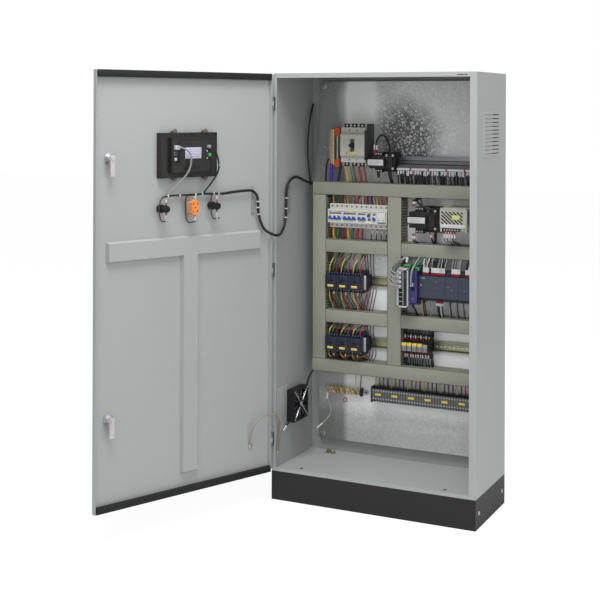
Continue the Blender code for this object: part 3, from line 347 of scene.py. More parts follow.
for name in (
    "duct_top", "duct_left", "duct_middle", "duct_row1_left", "duct_row1_right", "duct_row2_left",
        "duct_row2_right",
    "duct_bottom",
):
    low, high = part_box(name)
    along = 0 if high[0] - low[0] > high[2] - low[2] else 2
    cross = 2 - along
    count = int((high[along] - low[along]) / finger_pitch)
    trunking = open_piece(name + "_comb", duct_plastic)
    for edge in (low[cross], high[cross] - duct_wall):
        first, last = [0, low[1] + 0.008, 0], [0, high[1] - 0.01, 0]
        first[along], last[along] = low[along] + 0.001, low[along] + 0.001 + finger_width
        first[cross], last[cross] = edge, edge + duct_wall
        block(first, last)
    bpy.ops.object.mode_set(mode="OBJECT")
    comb = trunking.modifiers.new("comb", "ARRAY")
    comb.count = count
    comb.use_relative_offset = False
    comb.use_constant_offset = True
    comb.constant_offset_displace = (finger_pitch, 0, 0) if along == 0 else (0, 0, finger_pitch)
    bpy.ops.object.modifier_apply(modifier=comb.name)
    bpy.ops.object.mode_set(mode="EDIT")
    block(low, (high[0], low[1] + 0.0018, high[2]))
    block((low[0], high[1] - 0.0018, low[2]), high)
    for edge in (low[cross], high[cross] - duct_wall):
        for y_low, y_high in ((low[1], low[1] + 0.009), (high[1] - 0.011, high[1])):
            first, last = [0, y_low, 0], [0, y_high, 0]
            first[along], last[along] = low[along], high[along]
            first[cross], last[cross] = edge, edge + duct_wall
            block(first, last)
    close_piece(trunking, "cabinet", 0.0003)
    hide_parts(name)


# ---------------------------------------------------------------- main breaker
# A moulded-case breaker in pale grey thermoset: terminal wells above and below, a black toggle in a framed
# window, a yellow strip under it and an orange test button.

case_grey = coat("light grey moulded thermoset", "b3b3ab", 0.45, tone=0.03, patch=0.03)
soot = coat("black glass-filled nylon", "0e0e10", 0.45, tone=0.1, patch=0.02)
# Painted shade: this near-black finish is put into recesses, wells, holes, slots and joints where shade falls.
void = coat("unlit recess", "0b0b0c", 0.8)
yellow = coat("yellow printed label", "d9c44e", 0.5, tone=0.04, patch=0.01)
orange = coat("orange moulded insulator", "d2582a", 0.42, tone=0.06, patch=0.02)
label = coat("white printed label", "c8cacb", 0.5, tone=0.03, patch=0.01)
faint = coat("grey print on a label", "8d9096", 0.6)
dress(case_grey, "mccb_body")
dress(soot, "mccb_toggle")


def pad(x, z, half_width, half_height, front, back, finish=0):
    """Adds a block by its middle and half sizes as seen from the front, and by its two depths."""
    block((x - half_width, front, z - half_height), (x + half_width, back, z + half_height), finish)


low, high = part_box("mccb_body")
middle_x, middle_z = (low[0] + high[0]) / 2, (low[2] + high[2]) / 2
face = low[1]
side_grey = coat("dark grey breaker base", "4b4c4b", 0.5, tone=0.04, patch=0.03)
breaker = open_piece("main_breaker_face", case_grey, void, yellow, orange, zinc, faint, side_grey)
block((high[0] - 0.0006, face + 0.0215, low[2] + 0.001), (high[0] + 0.0006, high[1] - 0.001, high[2] - 0.001),
    6)
block((high[0] - 0.0006, face + 0.002, middle_z - 0.05), (high[0] + 0.0004, face + 0.0215, middle_z + 0.05), 6)
for pole in (-1, 0, 1):
    x = middle_x + pole * 0.028
    for end in (-1, 1):
        z = middle_z + end * 0.0655
        block((x - 0.0095, face + 0.0205, z - 0.007), (x + 0.0095, face + 0.0219, z + 0.0065), 1)
        stud(x, z - end * 0.001, face + 0.0207, face + 0.0195, 0.0045, 4, 12)
        if pole < 1:
            stud(x + 0.014, middle_z + end * 0.05, face + 0.0082, face + 0.0072, 0.0022, 1, 10)
for z_low, z_high in ((0.0335, 0.0345), (-0.035, -0.034)):
    block((low[0] + 0.003, face - 0.0003, middle_z + z_low),
        (high[0] - 0.003, face + 0.0002, middle_z + z_high), 5)
for x_low, x_high, z_low, z_high in (
    (-0.0115, -0.0085, -0.026, 0.024), (0.0085, 0.0115, -0.026, 0.024), (-0.0115, 0.0115, 0.0215, 0.024),
):
    block((middle_x + x_low, face - 0.0012, middle_z + z_low),
        (middle_x + x_high, face + 0.001, middle_z + z_high))
block((middle_x - 0.0105, face - 0.0014, middle_z - 0.0305),
    (middle_x + 0.0105, face + 0.001, middle_z - 0.0235), 2)
stud(middle_x - 0.02, middle_z - 0.028, face + 0.001, face - 0.0012, 0.003, 3)
for step in range(5):
    z = middle_z + 0.016 - step * 0.006
    block((middle_x - 0.036, face - 0.0002, z), (middle_x - 0.018, face + 0.0002, z + 0.0012), 5)
    block((middle_x + 0.018, face - 0.0002, z), (middle_x + 0.034, face + 0.0002, z + 0.0012), 5)
close_piece(breaker, "cabinet", 0.0002)


# ---------------------------------------------------------------- neutral bar
# A brass bar with clamp screws along it, on two orange insulators, with a steel stay between them.

brass = coat("plain brass bar", "c9b988", 0.3, 0.7, tone=0.2, patch=0.006)
dress(orange, "neutral_bar")
low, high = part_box("neutral_bar")
bar = open_piece("neutral_bar_screws", brass, zinc)
bar_low, bar_high = low[2] + 0.008, high[2] - 0.005
block((low[0] - 0.0004, low[1] - 0.0006, bar_low), (low[0] + 0.0195, low[1] + 0.0062, bar_high))
for step in range(11):
    z = bar_low + 0.008 + step * 0.0105
    stud(low[0] + 0.0095, z, low[1], low[1] - 0.0042, 0.0038, 1 if step % 3 else 0, 12)
    drum((low[0] - 0.0015, low[1] + 0.003, z), (low[0], low[1] + 0.003, z), 0.0022, 0, 8)
drum((low[0] + 0.027, low[1] + 0.012, low[2] + 0.02), (low[0] + 0.027, low[1] + 0.012, high[2] - 0.02), 0.0048, 1)
close_piece(bar, "cabinet", 0.0004)


# ---------------------------------------------------------------- modular breakers
# White moulded modules on the rail: a screw well at each end of each pole, a blue and yellow label line over the
# toggles, and fine joints between modules.

module_white = coat("white moulded polyamide", "d3d3cd", 0.42, tone=0.02, patch=0.02)
toggle_blue = coat("blue moulded toggle", "2f49ad", 0.35, tone=0.05, patch=0.01)
print_blue = coat("blue printed line", "5d7fc0", 0.5)
dress(module_white, "breaker_3p_a", "breaker_3p_b", "breaker_2p", "breakers_1p", "fuse_holder", "fuse_carrier")
dress(module_white, "toggle_3p_a", "toggle_3p_b", "toggle_2p", "toggle_1p_b", "toggle_1p_a")
low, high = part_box("breaker_3p_a")
row_z, nose, start = (low[2] + high[2]) / 2, low[1], low[0]
module_width = 0.018
modules = open_piece("breaker_fronts", void, print_blue, yellow, zinc, faint)
for pole in range(12):
    x = start + (pole + 0.5) * module_width
    for end in (-1, 1):
        z = row_z + end * 0.0325
        stud(x, z, nose + 0.0185, nose + 0.0172, 0.0036, 0, 12)
        stud(x, z, nose + 0.0178, nose + 0.0168, 0.0026, 3, 8)
    block((x - 0.0092, nose + 0.0174, row_z - 0.0405), (x - 0.0088, nose + 0.0181, row_z + 0.0405), 4)
    block((x - 0.0092, nose - 0.0002, row_z - 0.0225), (x - 0.0088, nose + 0.0004, row_z + 0.0225), 4)
    if pole < 10:
        block((x - 0.0075, nose - 0.0004, row_z + 0.015), (x + 0.0075, nose + 0.0003, row_z + 0.0172), 1)
    if pole in (1, 4, 6, 8):
        block((x - 0.006, nose - 0.0006, row_z + 0.0145), (x + 0.008, nose + 0.0003, row_z + 0.019), 2)
close_piece(modules, "cabinet", 0)

caps = {"toggle_3p_a": 3, "toggle_3p_b": 3, "toggle_2p": 2, "toggle_1p_a": 1, "toggle_1p_b": 1}
for name, count in caps.items():
    low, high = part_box(name)
    grip = open_piece(name + "_grips", toggle_blue)
    pitch = (high[0] - low[0]) / count
    tip, inward = (high[2], -1) if name == "toggle_1p_a" else (low[2], 1)
    paddle, neck, bar = (
        sorted(tip + inward * reach for reach in reaches)
        for reaches in ((0.0003, 0.0086), (0.0076, 0.0106), (0.0003, 0.0042)))
    block((low[0] + 0.0006, low[1] - 0.0004, bar[0]), (high[0] - 0.0006, low[1] + 0.002, bar[1]))
    for pole in range(count):
        x = low[0] + (pole + 0.5) * pitch
        block((x - 0.0056, low[1] - 0.0006, paddle[0]), (x + 0.0056, low[1] + 0.0022, paddle[1]))
        block((x - 0.0038, low[1] - 0.001, neck[0]), (x + 0.0038, low[1] + 0.0022, neck[1]))
    close_piece(grip, name, 0.0012)

low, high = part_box("fuse_carrier")
carrier = open_piece("fuse_carrier_windows", module_white, faint, void)
for side_x in (-0.008, 0.008):
    x = (low[0] + high[0]) / 2 + side_x
    block((x - 0.0055, low[1] - 0.0012, low[2] + 0.004), (x + 0.0055, low[1] + 0.001, high[2] - 0.003))
    block((x - 0.003, low[1] - 0.0016, low[2] + 0.016), (x + 0.003, low[1], low[2] + 0.0172), 1)
    stud(x, low[2] + 0.009, low[1] - 0.0016, low[1], 0.0018, 2, 10)
close_piece(carrier, "fuse_carrier", 0.0005)


# ---------------------------------------------------------------- control transformers
# Two small transformers cast in black resin round a laminated core, each with a printed plate in a frame, screw
# terminals above and below, and a dark steel bracket with bright screws.

resin = coat("black casting resin", "101012", 0.45, relief=0.00008, tone=0.12, patch=0.02)
laminations = coat("black varnished laminations", "19191b", 0.4, 0.3, grain=0.0008, relief=0.00015)
for name in ("transformer_upper", "transformer_lower"):
    low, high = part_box(name)
    width, height = high[0] - low[0], high[2] - low[2]
    middle_z = (low[2] + high[2]) / 2
    front, back = low[1], high[1]
    label_end = low[0] + 0.66 * width
    made = open_piece(name + "_body", resin, laminations, label, faint, zinc)
    block((low[0] + 0.06 * width, front + 0.007, middle_z - 0.3 * height),
        (low[0] + 0.64 * width, back - 0.006, middle_z + 0.3 * height))
    block((low[0] + 0.56 * width, front + 0.014, middle_z - 0.36 * height),
        (high[0] - 0.001, back - 0.004, middle_z + 0.42 * height), 1)
    block((low[0] + 0.62 * width, front + 0.008, middle_z - 0.24 * height),
        (high[0] - 0.008, front + 0.016, middle_z + 0.3 * height))
    block((low[0] + 0.34 * width, back - 0.0045, low[2]), (high[0], back, high[2]), 1)
    block((low[0], front, middle_z - 0.0135), (label_end, front + 0.01, middle_z + 0.0135))
    block((low[0] + 0.004, front - 0.0006, middle_z - 0.01),
        (label_end - 0.004, front + 0.001, middle_z + 0.0095), 2)
    for line in range(3):
        z = middle_z + 0.0045 - line * 0.0055
        block((low[0] + 0.01, front - 0.0009, z),
            (label_end - 0.012 - 0.006 * line, front - 0.0005, z + 0.0014), 3)
    for end in (-1, 1):
        z_low, z_high = sorted((middle_z + end * 0.28 * height, middle_z + end * 0.5 * height))
        block((low[0] + 0.26 * width, front + 0.012, z_low), (low[0] + 0.54 * width, front + 0.032, z_high))
        for step in range(3):
            x = low[0] + (0.31 + 0.09 * step) * width
            stud(x, middle_z + end * 0.43 * height, front + 0.0125, front + 0.0105, 0.0028, 4, 10)
    for step in range(8):
        y = front + 0.018 + step * 0.0036
        block((label_end + 0.01, y, middle_z - 0.37 * height),
            (high[0] - 0.0004, y + 0.0022, middle_z + 0.43 * height), 1)
    for x, z in ((0.7, 0.36), (0.93, 0.36), (0.93, -0.3)):
        x, z = low[0] + x * width, middle_z + z * height
        stud(x, z, front + 0.0145, front + 0.008, 0.0046, 4, 6)
    close_piece(made, "cabinet", 0.0008)
    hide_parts(name)


# ---------------------------------------------------------------- insulated wires
# Stranded copper in coloured PVC. Each end has a crimped ferrule with a dark red collar, and a white marker
# sleeve slid on behind it.


def sheath(name, colour, roughness=0.38):
    """The finish of drawn PVC, which is smoother than a moulding."""
    return coat(name, colour, roughness, grain=0.0009, relief=0.00001, tone=0.06, patch=0.02)


wire_yellow = sheath("yellow PVC insulation", "cda73a")
wire_amber = sheath("amber PVC insulation", "d3922d")
wire_green = sheath("green PVC insulation", "1f6b45")
wire_red = sheath("red PVC insulation", "b3242b")
wire_wine = sheath("dark red PVC insulation", "7d2433")
wire_pink = sheath("magenta PVC insulation", "9a3158")
wire_brown = sheath("brown PVC insulation", "70482c")
wire_blue = sheath("blue PVC insulation", "232a63")
wire_bright = sheath("bright blue PVC insulation", "2638a8")
wire_black = sheath("black PVC insulation", "131416")
wire_grey = sheath("grey PVC insulation", "8b8d8d")
wire_white = sheath("white PVC insulation", "c9cac8")
sleeve = sheath("white marker sleeve", "cfd0d0", 0.5)
ferrule = sheath("dark red ferrule collar", "8e1f2a", 0.4)


def strands(name, runs, body="cabinet", on_door=False):
    """One piece from many round strands: each run is a finish, a radius and the points that the strand follows."""
    curve = bpy.data.curves.new(name, "CURVE")
    curve.dimensions = "3D"
    curve.bevel_depth = 1.0
    curve.bevel_resolution = 1
    curve.use_fill_caps = True
    finishes = []
    for finish, radius, points in runs:
        if finish not in finishes:
            finishes.append(finish)
            curve.materials.append(finish)
        spline = curve.splines.new("NURBS" if len(points) > 2 else "POLY")
        spline.points.add(len(points) - 1)
        for point, where in zip(spline.points, points):
            point.co = (*where, 1)
            point.radius = radius
        spline.order_u = min(4, len(points))
        spline.use_endpoint_u = True
        spline.resolution_u = 5
        spline.use_smooth = True
        spline.material_index = finishes.index(finish)
    made = bpy.data.objects.new(name, curve)
    bpy.context.scene.collection.objects.link(made)
    bpy.ops.object.select_all(action="DESELECT")
    made.select_set(True)
    bpy.context.view_layer.objects.active = made
    bpy.ops.object.convert(target="MESH")
    made = bpy.context.object
    made.data.name = name
    if on_door:
        made.data.transform(door_turn)
    if body:
        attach(made, body)
    return made


rng = random.Random(7)


# ---------------------------------------------------------------- upper terminal row
# Slim dark terminals on a slotted rail. A white marker strip with red caps runs along them, and a close row of
# black wires with white sleeves goes down into the top duct.

terminal_grey = coat("dark grey moulded terminals", "58595b", 0.5, tone=0.06, patch=0.01)
rail_steel = coat("passivated steel rail", "8f9296", 0.35, 0.8, tone=0.06, patch=0.02)
red_mark = coat("red marker cap", "a3262c", 0.45)
dress(rail_steel, "terminal_row_upper")
low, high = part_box("terminal_row_upper")
tuck = 0.004
front, duct_top_z = low[1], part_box("duct_top")[1][2]
row = open_piece("upper_terminals", terminal_grey, rail_steel, label, red_mark, void)
block((low[0] - 0.004, 0.2505, high[2] - 0.036), (high[0] + 0.012, 0.2568, high[2] - 0.001), 1)
block((low[0] + 0.001, front - 0.001, high[2] - 0.0145), (high[0] - 0.001, front + 0.001, high[2] - 0.012), 4)
block((low[0] + 0.001, front - 0.0012, high[2] - 0.037), (high[0] - 0.001, front + 0.001, high[2] - 0.032))
block((low[0] + 0.001, front - 0.0008, low[2] + 0.001), (high[0] - 0.001, front + 0.001, high[2] - 0.046))
for step in range(38):
    x = low[0] + 0.005 + step * 0.0074
    block((x, front - 0.0007, high[2] - 0.027), (x + 0.0044, front + 0.001, high[2] - 0.0225), 4)
strip_z = high[2] - 0.042
block((low[0] + 0.001, front - 0.0036, strip_z - 0.003), (high[0] - 0.002, front + 0.001, strip_z + 0.0034), 2)
for step in range(4):
    x = 0.044 + step * 0.0627
    block((x - 0.0028, front - 0.0056, strip_z - 0.0042), (x + 0.0028, front, strip_z + 0.0046), 3)
close_piece(row, "cabinet", 0.0003)

runs = []
for step in range(46):
    x = low[0] + 0.006 + step * 0.006
    y = front - 0.0025 + 0.003 * (step % 2)
    z = strip_z - 0.0045
    tint = wire_black if rng.random() < 0.8 else wire_grey
    lean = rng.uniform(-0.004, 0.004)
    length = rng.uniform(0.009, 0.017)
    if step % 5 != 4:
        runs.append((sleeve, 0.0023, [(x, y, z), (x + lean * 0.2, y - 0.001, z - length)]))
    runs.append((tint, 0.0021, [(x, y, z), (x + lean * 0.3, y, z - 0.014), (x + lean, y + 0.003, z - 0.026),
                                (x + lean, y + 0.008, duct_top_z - tuck)]))
strands("upper_terminal_wires", runs)


# ---------------------------------------------------------------- wires in the top zone
# Thick incoming conductors from the main breaker and the neutral bar into the top duct, the transformer's black
# loop and the cables that come down in the left rear corner.


def ring(middle, radius, thick, finish=0, axis="Y"):
    """Adds a thin ring lying across an axis."""
    turn = {"X": (0, math.pi / 2, 0), "Y": (math.pi / 2, 0, 0), "Z": (0, 0, 0)}[axis]
    bpy.ops.mesh.select_all(action="DESELECT")
    bpy.ops.mesh.primitive_torus_add(
        major_radius=radius, minor_radius=thick, major_segments=28, minor_segments=8, location=middle,
            rotation=turn)
    bpy.context.object.active_material_index = finish
    bpy.ops.object.material_slot_assign()


runs = []
for x, tint, radius in (
    (-0.188, wire_yellow, 0.0042), (-0.17, wire_brown, 0.002), (-0.1595, wire_green, 0.0036),
    (-0.138, wire_red, 0.0042), (-0.1195, wire_brown, 0.003),
):
    runs.append((tint, radius, [(x, 0.206, 1.094), (x, 0.208, 1.075), (x + 0.002, 0.222, 1.055),
        (x + 0.002, 0.226, 1.03)]))
runs += [
    (wire_bright, 0.0058, [(-0.253, 0.238, 1.096), (-0.2535, 0.232, 1.08), (-0.25, 0.226, 1.058),
    (-0.248, 0.226, 1.03)]),
    (wire_blue, 0.005, [(-0.218, 0.24, 1.092), (-0.219, 0.238, 1.078), (-0.226, 0.236, 1.056),
    (-0.229, 0.236, 1.03)]),
    (wire_black, 0.0034, [(-0.262, 0.236, 1.112), (-0.27, 0.234, 1.105), (-0.274, 0.234, 1.08),
    (-0.272, 0.23, 1.03)]),
    (wire_black, 0.0034, [
        (-0.076, 0.206, 1.146), (-0.076, 0.205, 1.168), (-0.07, 0.205, 1.188), (-0.054, 0.205, 1.2),
        (-0.038, 0.206, 1.19), (-0.027, 0.208, 1.164), (-0.024, 0.21, 1.125)]),
    (ferrule, 0.004, [(-0.08, 0.204, 1.136), (-0.08, 0.204, 1.147)]),
    (ferrule, 0.0036, [(-0.072, 0.204, 1.136), (-0.072, 0.204, 1.147)]),
    (sleeve, 0.0036, [(-0.08, 0.204, 1.147), (-0.08, 0.204, 1.164)]),
    (sleeve, 0.0032, [(-0.072, 0.204, 1.147), (-0.072, 0.204, 1.162)]),
    (wire_black, 0.003, [(-0.027, 0.214, 1.08), (-0.025, 0.216, 1.06), (-0.022, 0.222, 1.045),
    (-0.021, 0.226, 1.03)]),
    (wire_black, 0.003, [(-0.034, 0.214, 1.08), (-0.033, 0.216, 1.06), (-0.028, 0.222, 1.045),
    (-0.027, 0.226, 1.03)]),
    (wire_black, 0.0052, [(-0.07, 0.215, 1.072), (-0.07, 0.215, 1.062), (-0.069, 0.216, 1.054)]),
]
strands("top_zone_wires", runs)
corner = [
    (wire_black, 0.0032, [
        (-0.338, 0.268, 1.3), (-0.336, 0.255, 1.29), (-0.335, 0.24, 1.268), (-0.3345, 0.226, 1.23),
        (-0.334, 0.214, 1.17), (-0.334, 0.212, 1.12), (-0.333, 0.222, 1.07), (-0.33, 0.232, 1.02)]),
    (wire_grey, 0.002, [
        (-0.3385, 0.27, 1.3), (-0.3385, 0.272, 1.24), (-0.338, 0.274, 1.18), (-0.3385, 0.27, 1.12),
        (-0.338, 0.266, 1.07), (-0.337, 0.262, 1.02)]),
    (wire_grey, 0.0014, [
        (-0.338, 0.27, 1.298), (-0.333, 0.272, 1.255), (-0.323, 0.275, 1.215), (-0.324, 0.276, 1.165),
        (-0.333, 0.274, 1.11), (-0.338, 0.268, 1.05)]),
]
strands("corner_cables", corner)
sticker_ring = open_piece("point_marks", toggle_blue, red_mark, label)
ring((-0.29, 0.2645, 1.1509), 0.0046, 0.001, 0)
stud(-0.29, 1.1509, plate_face, 0.2645, 0.0042, 2)
ring((-0.2108, 0.2645, 0.2799), 0.0066, 0.0013, 1)
stud(-0.2108, 0.2799, plate_face, 0.2645, 0.0062, 2)
close_piece(sticker_ring, "cabinet", 0)


# ---------------------------------------------------------------- wires in row one
# Above the breakers a mixed row of phase colours comes out of the top duct. Below them three-phase pairs of
# heavier wire and a few thin black ones with red ferrules go down.


def drop(x, y, z, duct_y, duct_z, lean=0.0, swell=0.0):
    """A wire's points from a terminal to a duct, straight out of both, with a lean and a forward swell."""
    rise = duct_z - z
    return [
        (x, y, z), (x, y - 0.3 * swell, z + 0.22 * rise), (x + 0.35 * lean, y - swell, z + 0.45 * rise),
        (x + 0.8 * lean, duct_y - 0.3 * swell, z + 0.74 * rise), (x + lean, duct_y, z + 0.9 * rise),
        (x + lean, duct_y, duct_z)]


def collars(x, y, z, end, length=0.013, marker=True):
    """A ferrule collar at a terminal and the marker sleeve behind it; end is +1 where the wire leaves upwards."""
    found = [(ferrule, 0.0028, [(x, y, z), (x, y, z + end * 0.0075)])]
    if marker:
        found.append((sleeve, 0.0028, [(x, y, z + end * 0.0078), (x, y, z + end * (0.0078 + length))]))
    return found


runs = []
top_edge, row1_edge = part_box("duct_top")[0][2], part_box("duct_row1_left")[1][2]
clamp_y, clamp_rise = nose + 0.03, 0.0395
above = (
    (wire_yellow, 0.003), (wire_green, 0.004), (wire_wine, 0.0034), (wire_yellow, 0.0038), (wire_grey, 0.0038),
    (wire_red, 0.0042), (wire_white, 0.0028), (wire_wine, 0.0038), (wire_blue, 0.0034), (wire_yellow, 0.0038),
    (wire_red, 0.0026), (wire_red, 0.0026))
for pole, (tint, radius) in enumerate(above):
    x = start + (pole + 0.5) * module_width
    lean = rng.uniform(-0.006, 0.006)
    runs.append((tint, radius, drop(x, clamp_y, row_z + clamp_rise, 0.234, top_edge + tuck, lean, 0.004)))
    if pole % 3 == 2:
        runs.append((wire_white, 0.0016,
            drop(x + 0.006, clamp_y, row_z + clamp_rise, 0.236, top_edge + tuck, lean, 0.003)))
below = (
    (wire_amber, 0.0048), (wire_green, 0.005), (wire_wine, 0.0046), (wire_amber, 0.0048), (wire_green, 0.0048),
    (wire_red, 0.005), (wire_wine, 0.0032))
for pole, (tint, radius) in enumerate(below):
    x = start + (pole + 0.5) * module_width
    lean = rng.uniform(-0.003, 0.003)
    runs.append((tint, radius, drop(x, clamp_y, row_z - clamp_rise, 0.232, row1_edge - tuck, lean, 0.006)))
for pole in range(8, 12):
    x = start + (pole + 0.5) * module_width
    runs += collars(x, nose + 0.026, row_z - 0.0385, -1)
    runs.append((wire_black, 0.0018,
        drop(x, nose + 0.026, row_z - 0.045, 0.23, row1_edge - tuck, -0.004, 0.002)))
strands("breaker_wires", runs)


# ---------------------------------------------------------------- power supply and lower transformer wiring
# The power supply is a perforated aluminium case with a pale label, a white strip over its screw terminals and a
# green lamp. Bunches of black wire with ferrules reach it and the transformer from the ducts.

perforated = coat("perforated aluminium case", "aeaea3", 0.4, 0.15, tone=0.04, patch=0.02)
lime = coat("yellow-green label", "c9d27a", 0.5, tone=0.04, patch=0.01)
lamp_green = coat("lit green lamp", "9fe04a", 0.3)
dress(perforated, "power_supply")
low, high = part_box("power_supply")
front = low[1]
screw_pitch = 0.009
# The case's holes and the slots in its side are near-black painted shade.
supply = open_piece("power_supply_mesh", void)
for row in range(7):
    for hole in range(6 - row % 2):
        x, z = low[0] + 0.0035 + hole * 0.013 + row % 2 * 0.0065, low[2] + 0.0265 + row * 0.0056
        block((x, front - 0.0006, z), (x + 0.0078, front + 0.0002, z + 0.004), 0, (0, 0.7, 0))
for step in range(9):
    y = front + 0.01 + step * 0.009
    block((high[0] - 0.0002, y, low[2] + 0.022), (high[0] + 0.0003, y + 0.003, high[2] - 0.01))
close_piece(supply, "cabinet", 0)
supply = open_piece("power_supply_front", perforated, lime, label, zinc, lamp_green, soot)
block((low[0] - 0.001, front - 0.0008, high[2] - 0.003), (high[0] + 0.001, front + 0.004, high[2] + 0.0008))
block((low[0] - 0.001, front - 0.0008, low[2] + 0.012), (low[0] + 0.002, front + 0.004, high[2]))
block((high[0] - 0.002, front - 0.0008, low[2]), (high[0] + 0.001, front + 0.004, high[2]))
block((low[0] + 0.04, front - 0.0014, low[2] + 0.04), (low[0] + 0.066, front, low[2] + 0.054), 1)
block((low[0] + 0.001, front - 0.001, low[2] + 0.013), (high[0] - 0.006, front, low[2] + 0.024), 2)
block((low[0] + 0.008, front + 0.004, low[2] + 0.0005), (low[0] + 0.062, front + 0.012, low[2] + 0.0115), 5)
for step in range(6):
    x = low[0] + 0.013 + step * screw_pitch
    stud(x, low[2] + 0.006, front + 0.0045, front + 0.0025, 0.003, 3, 10)
stud(high[0] - 0.013, low[2] + 0.007, front + 0.001, front - 0.002, 0.0028, 4)
close_piece(supply, "cabinet", 0.0003)

runs = []
for step in range(5):
    x = low[0] + 0.013 + step * screw_pitch
    runs += collars(x, front + 0.0035, low[2] + 0.0005, -1)
    lean = rng.uniform(-0.006, 0.004)
    runs.append((wire_black if step % 2 else wire_grey, 0.0018,
        drop(x, front + 0.004, low[2] - 0.014, 0.222, row1_edge - tuck, lean)))
lower, upper_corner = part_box("transformer_lower")
for offset in (0.019, 0.026):
    x = lower[0] + offset
    runs += collars(x, lower[1] + 0.01, upper_corner[2] + 0.001, 1, 0.009)
    runs.append((wire_black, 0.0026,
        drop(x, lower[1] + 0.01, upper_corner[2] + 0.016, 0.236, top_edge + 0.003, 0.016, 0.004)))
    runs += collars(x, lower[1] + 0.01, lower[2] - 0.001, -1, 0.009)
    runs.append((wire_black, 0.002,
        drop(x, lower[1] + 0.01, lower[2] - 0.016, 0.232, row1_edge - tuck, 0.004, 0.002)))
runs += [
    (wire_black, 0.0034, [
        (0.068, 0.215, 0.982), (0.075, 0.208, 0.972), (0.095, 0.204, 0.962), (0.118, 0.203, 0.958),
        (0.133, 0.206, 0.948), (0.14, 0.21, 0.93), (0.14, 0.214, 0.905), (0.134, 0.218, 0.88),
        (0.131, 0.226, 0.836)]),
    (wire_black, 0.003, [
        (0.082, 0.212, 0.986), (0.09, 0.206, 0.968), (0.11, 0.201, 0.952), (0.129, 0.203, 0.934),
        (0.137, 0.209, 0.905), (0.129, 0.216, 0.87), (0.127, 0.226, 0.836)]),
    (ferrule, 0.003, [(0.118, 0.2, 0.88), (0.12, 0.201, 0.872)]),
    (sleeve, 0.003, [(0.12, 0.201, 0.872), (0.123, 0.204, 0.862)]),
    (wire_black, 0.0028, [(0.123, 0.204, 0.862), (0.124, 0.208, 0.852), (0.125, 0.218, 0.842),
    (0.125, 0.226, 0.834)]),
]
strands("row_one_right_wires", runs)


# ---------------------------------------------------------------- contactors
# Blue-black moulded contactors. Each has a row of terminal screws along its upper and lower shoulders, a yellow
# label and a joint to its neighbour; a white end stop closes the row on a yellow-passivated rail.

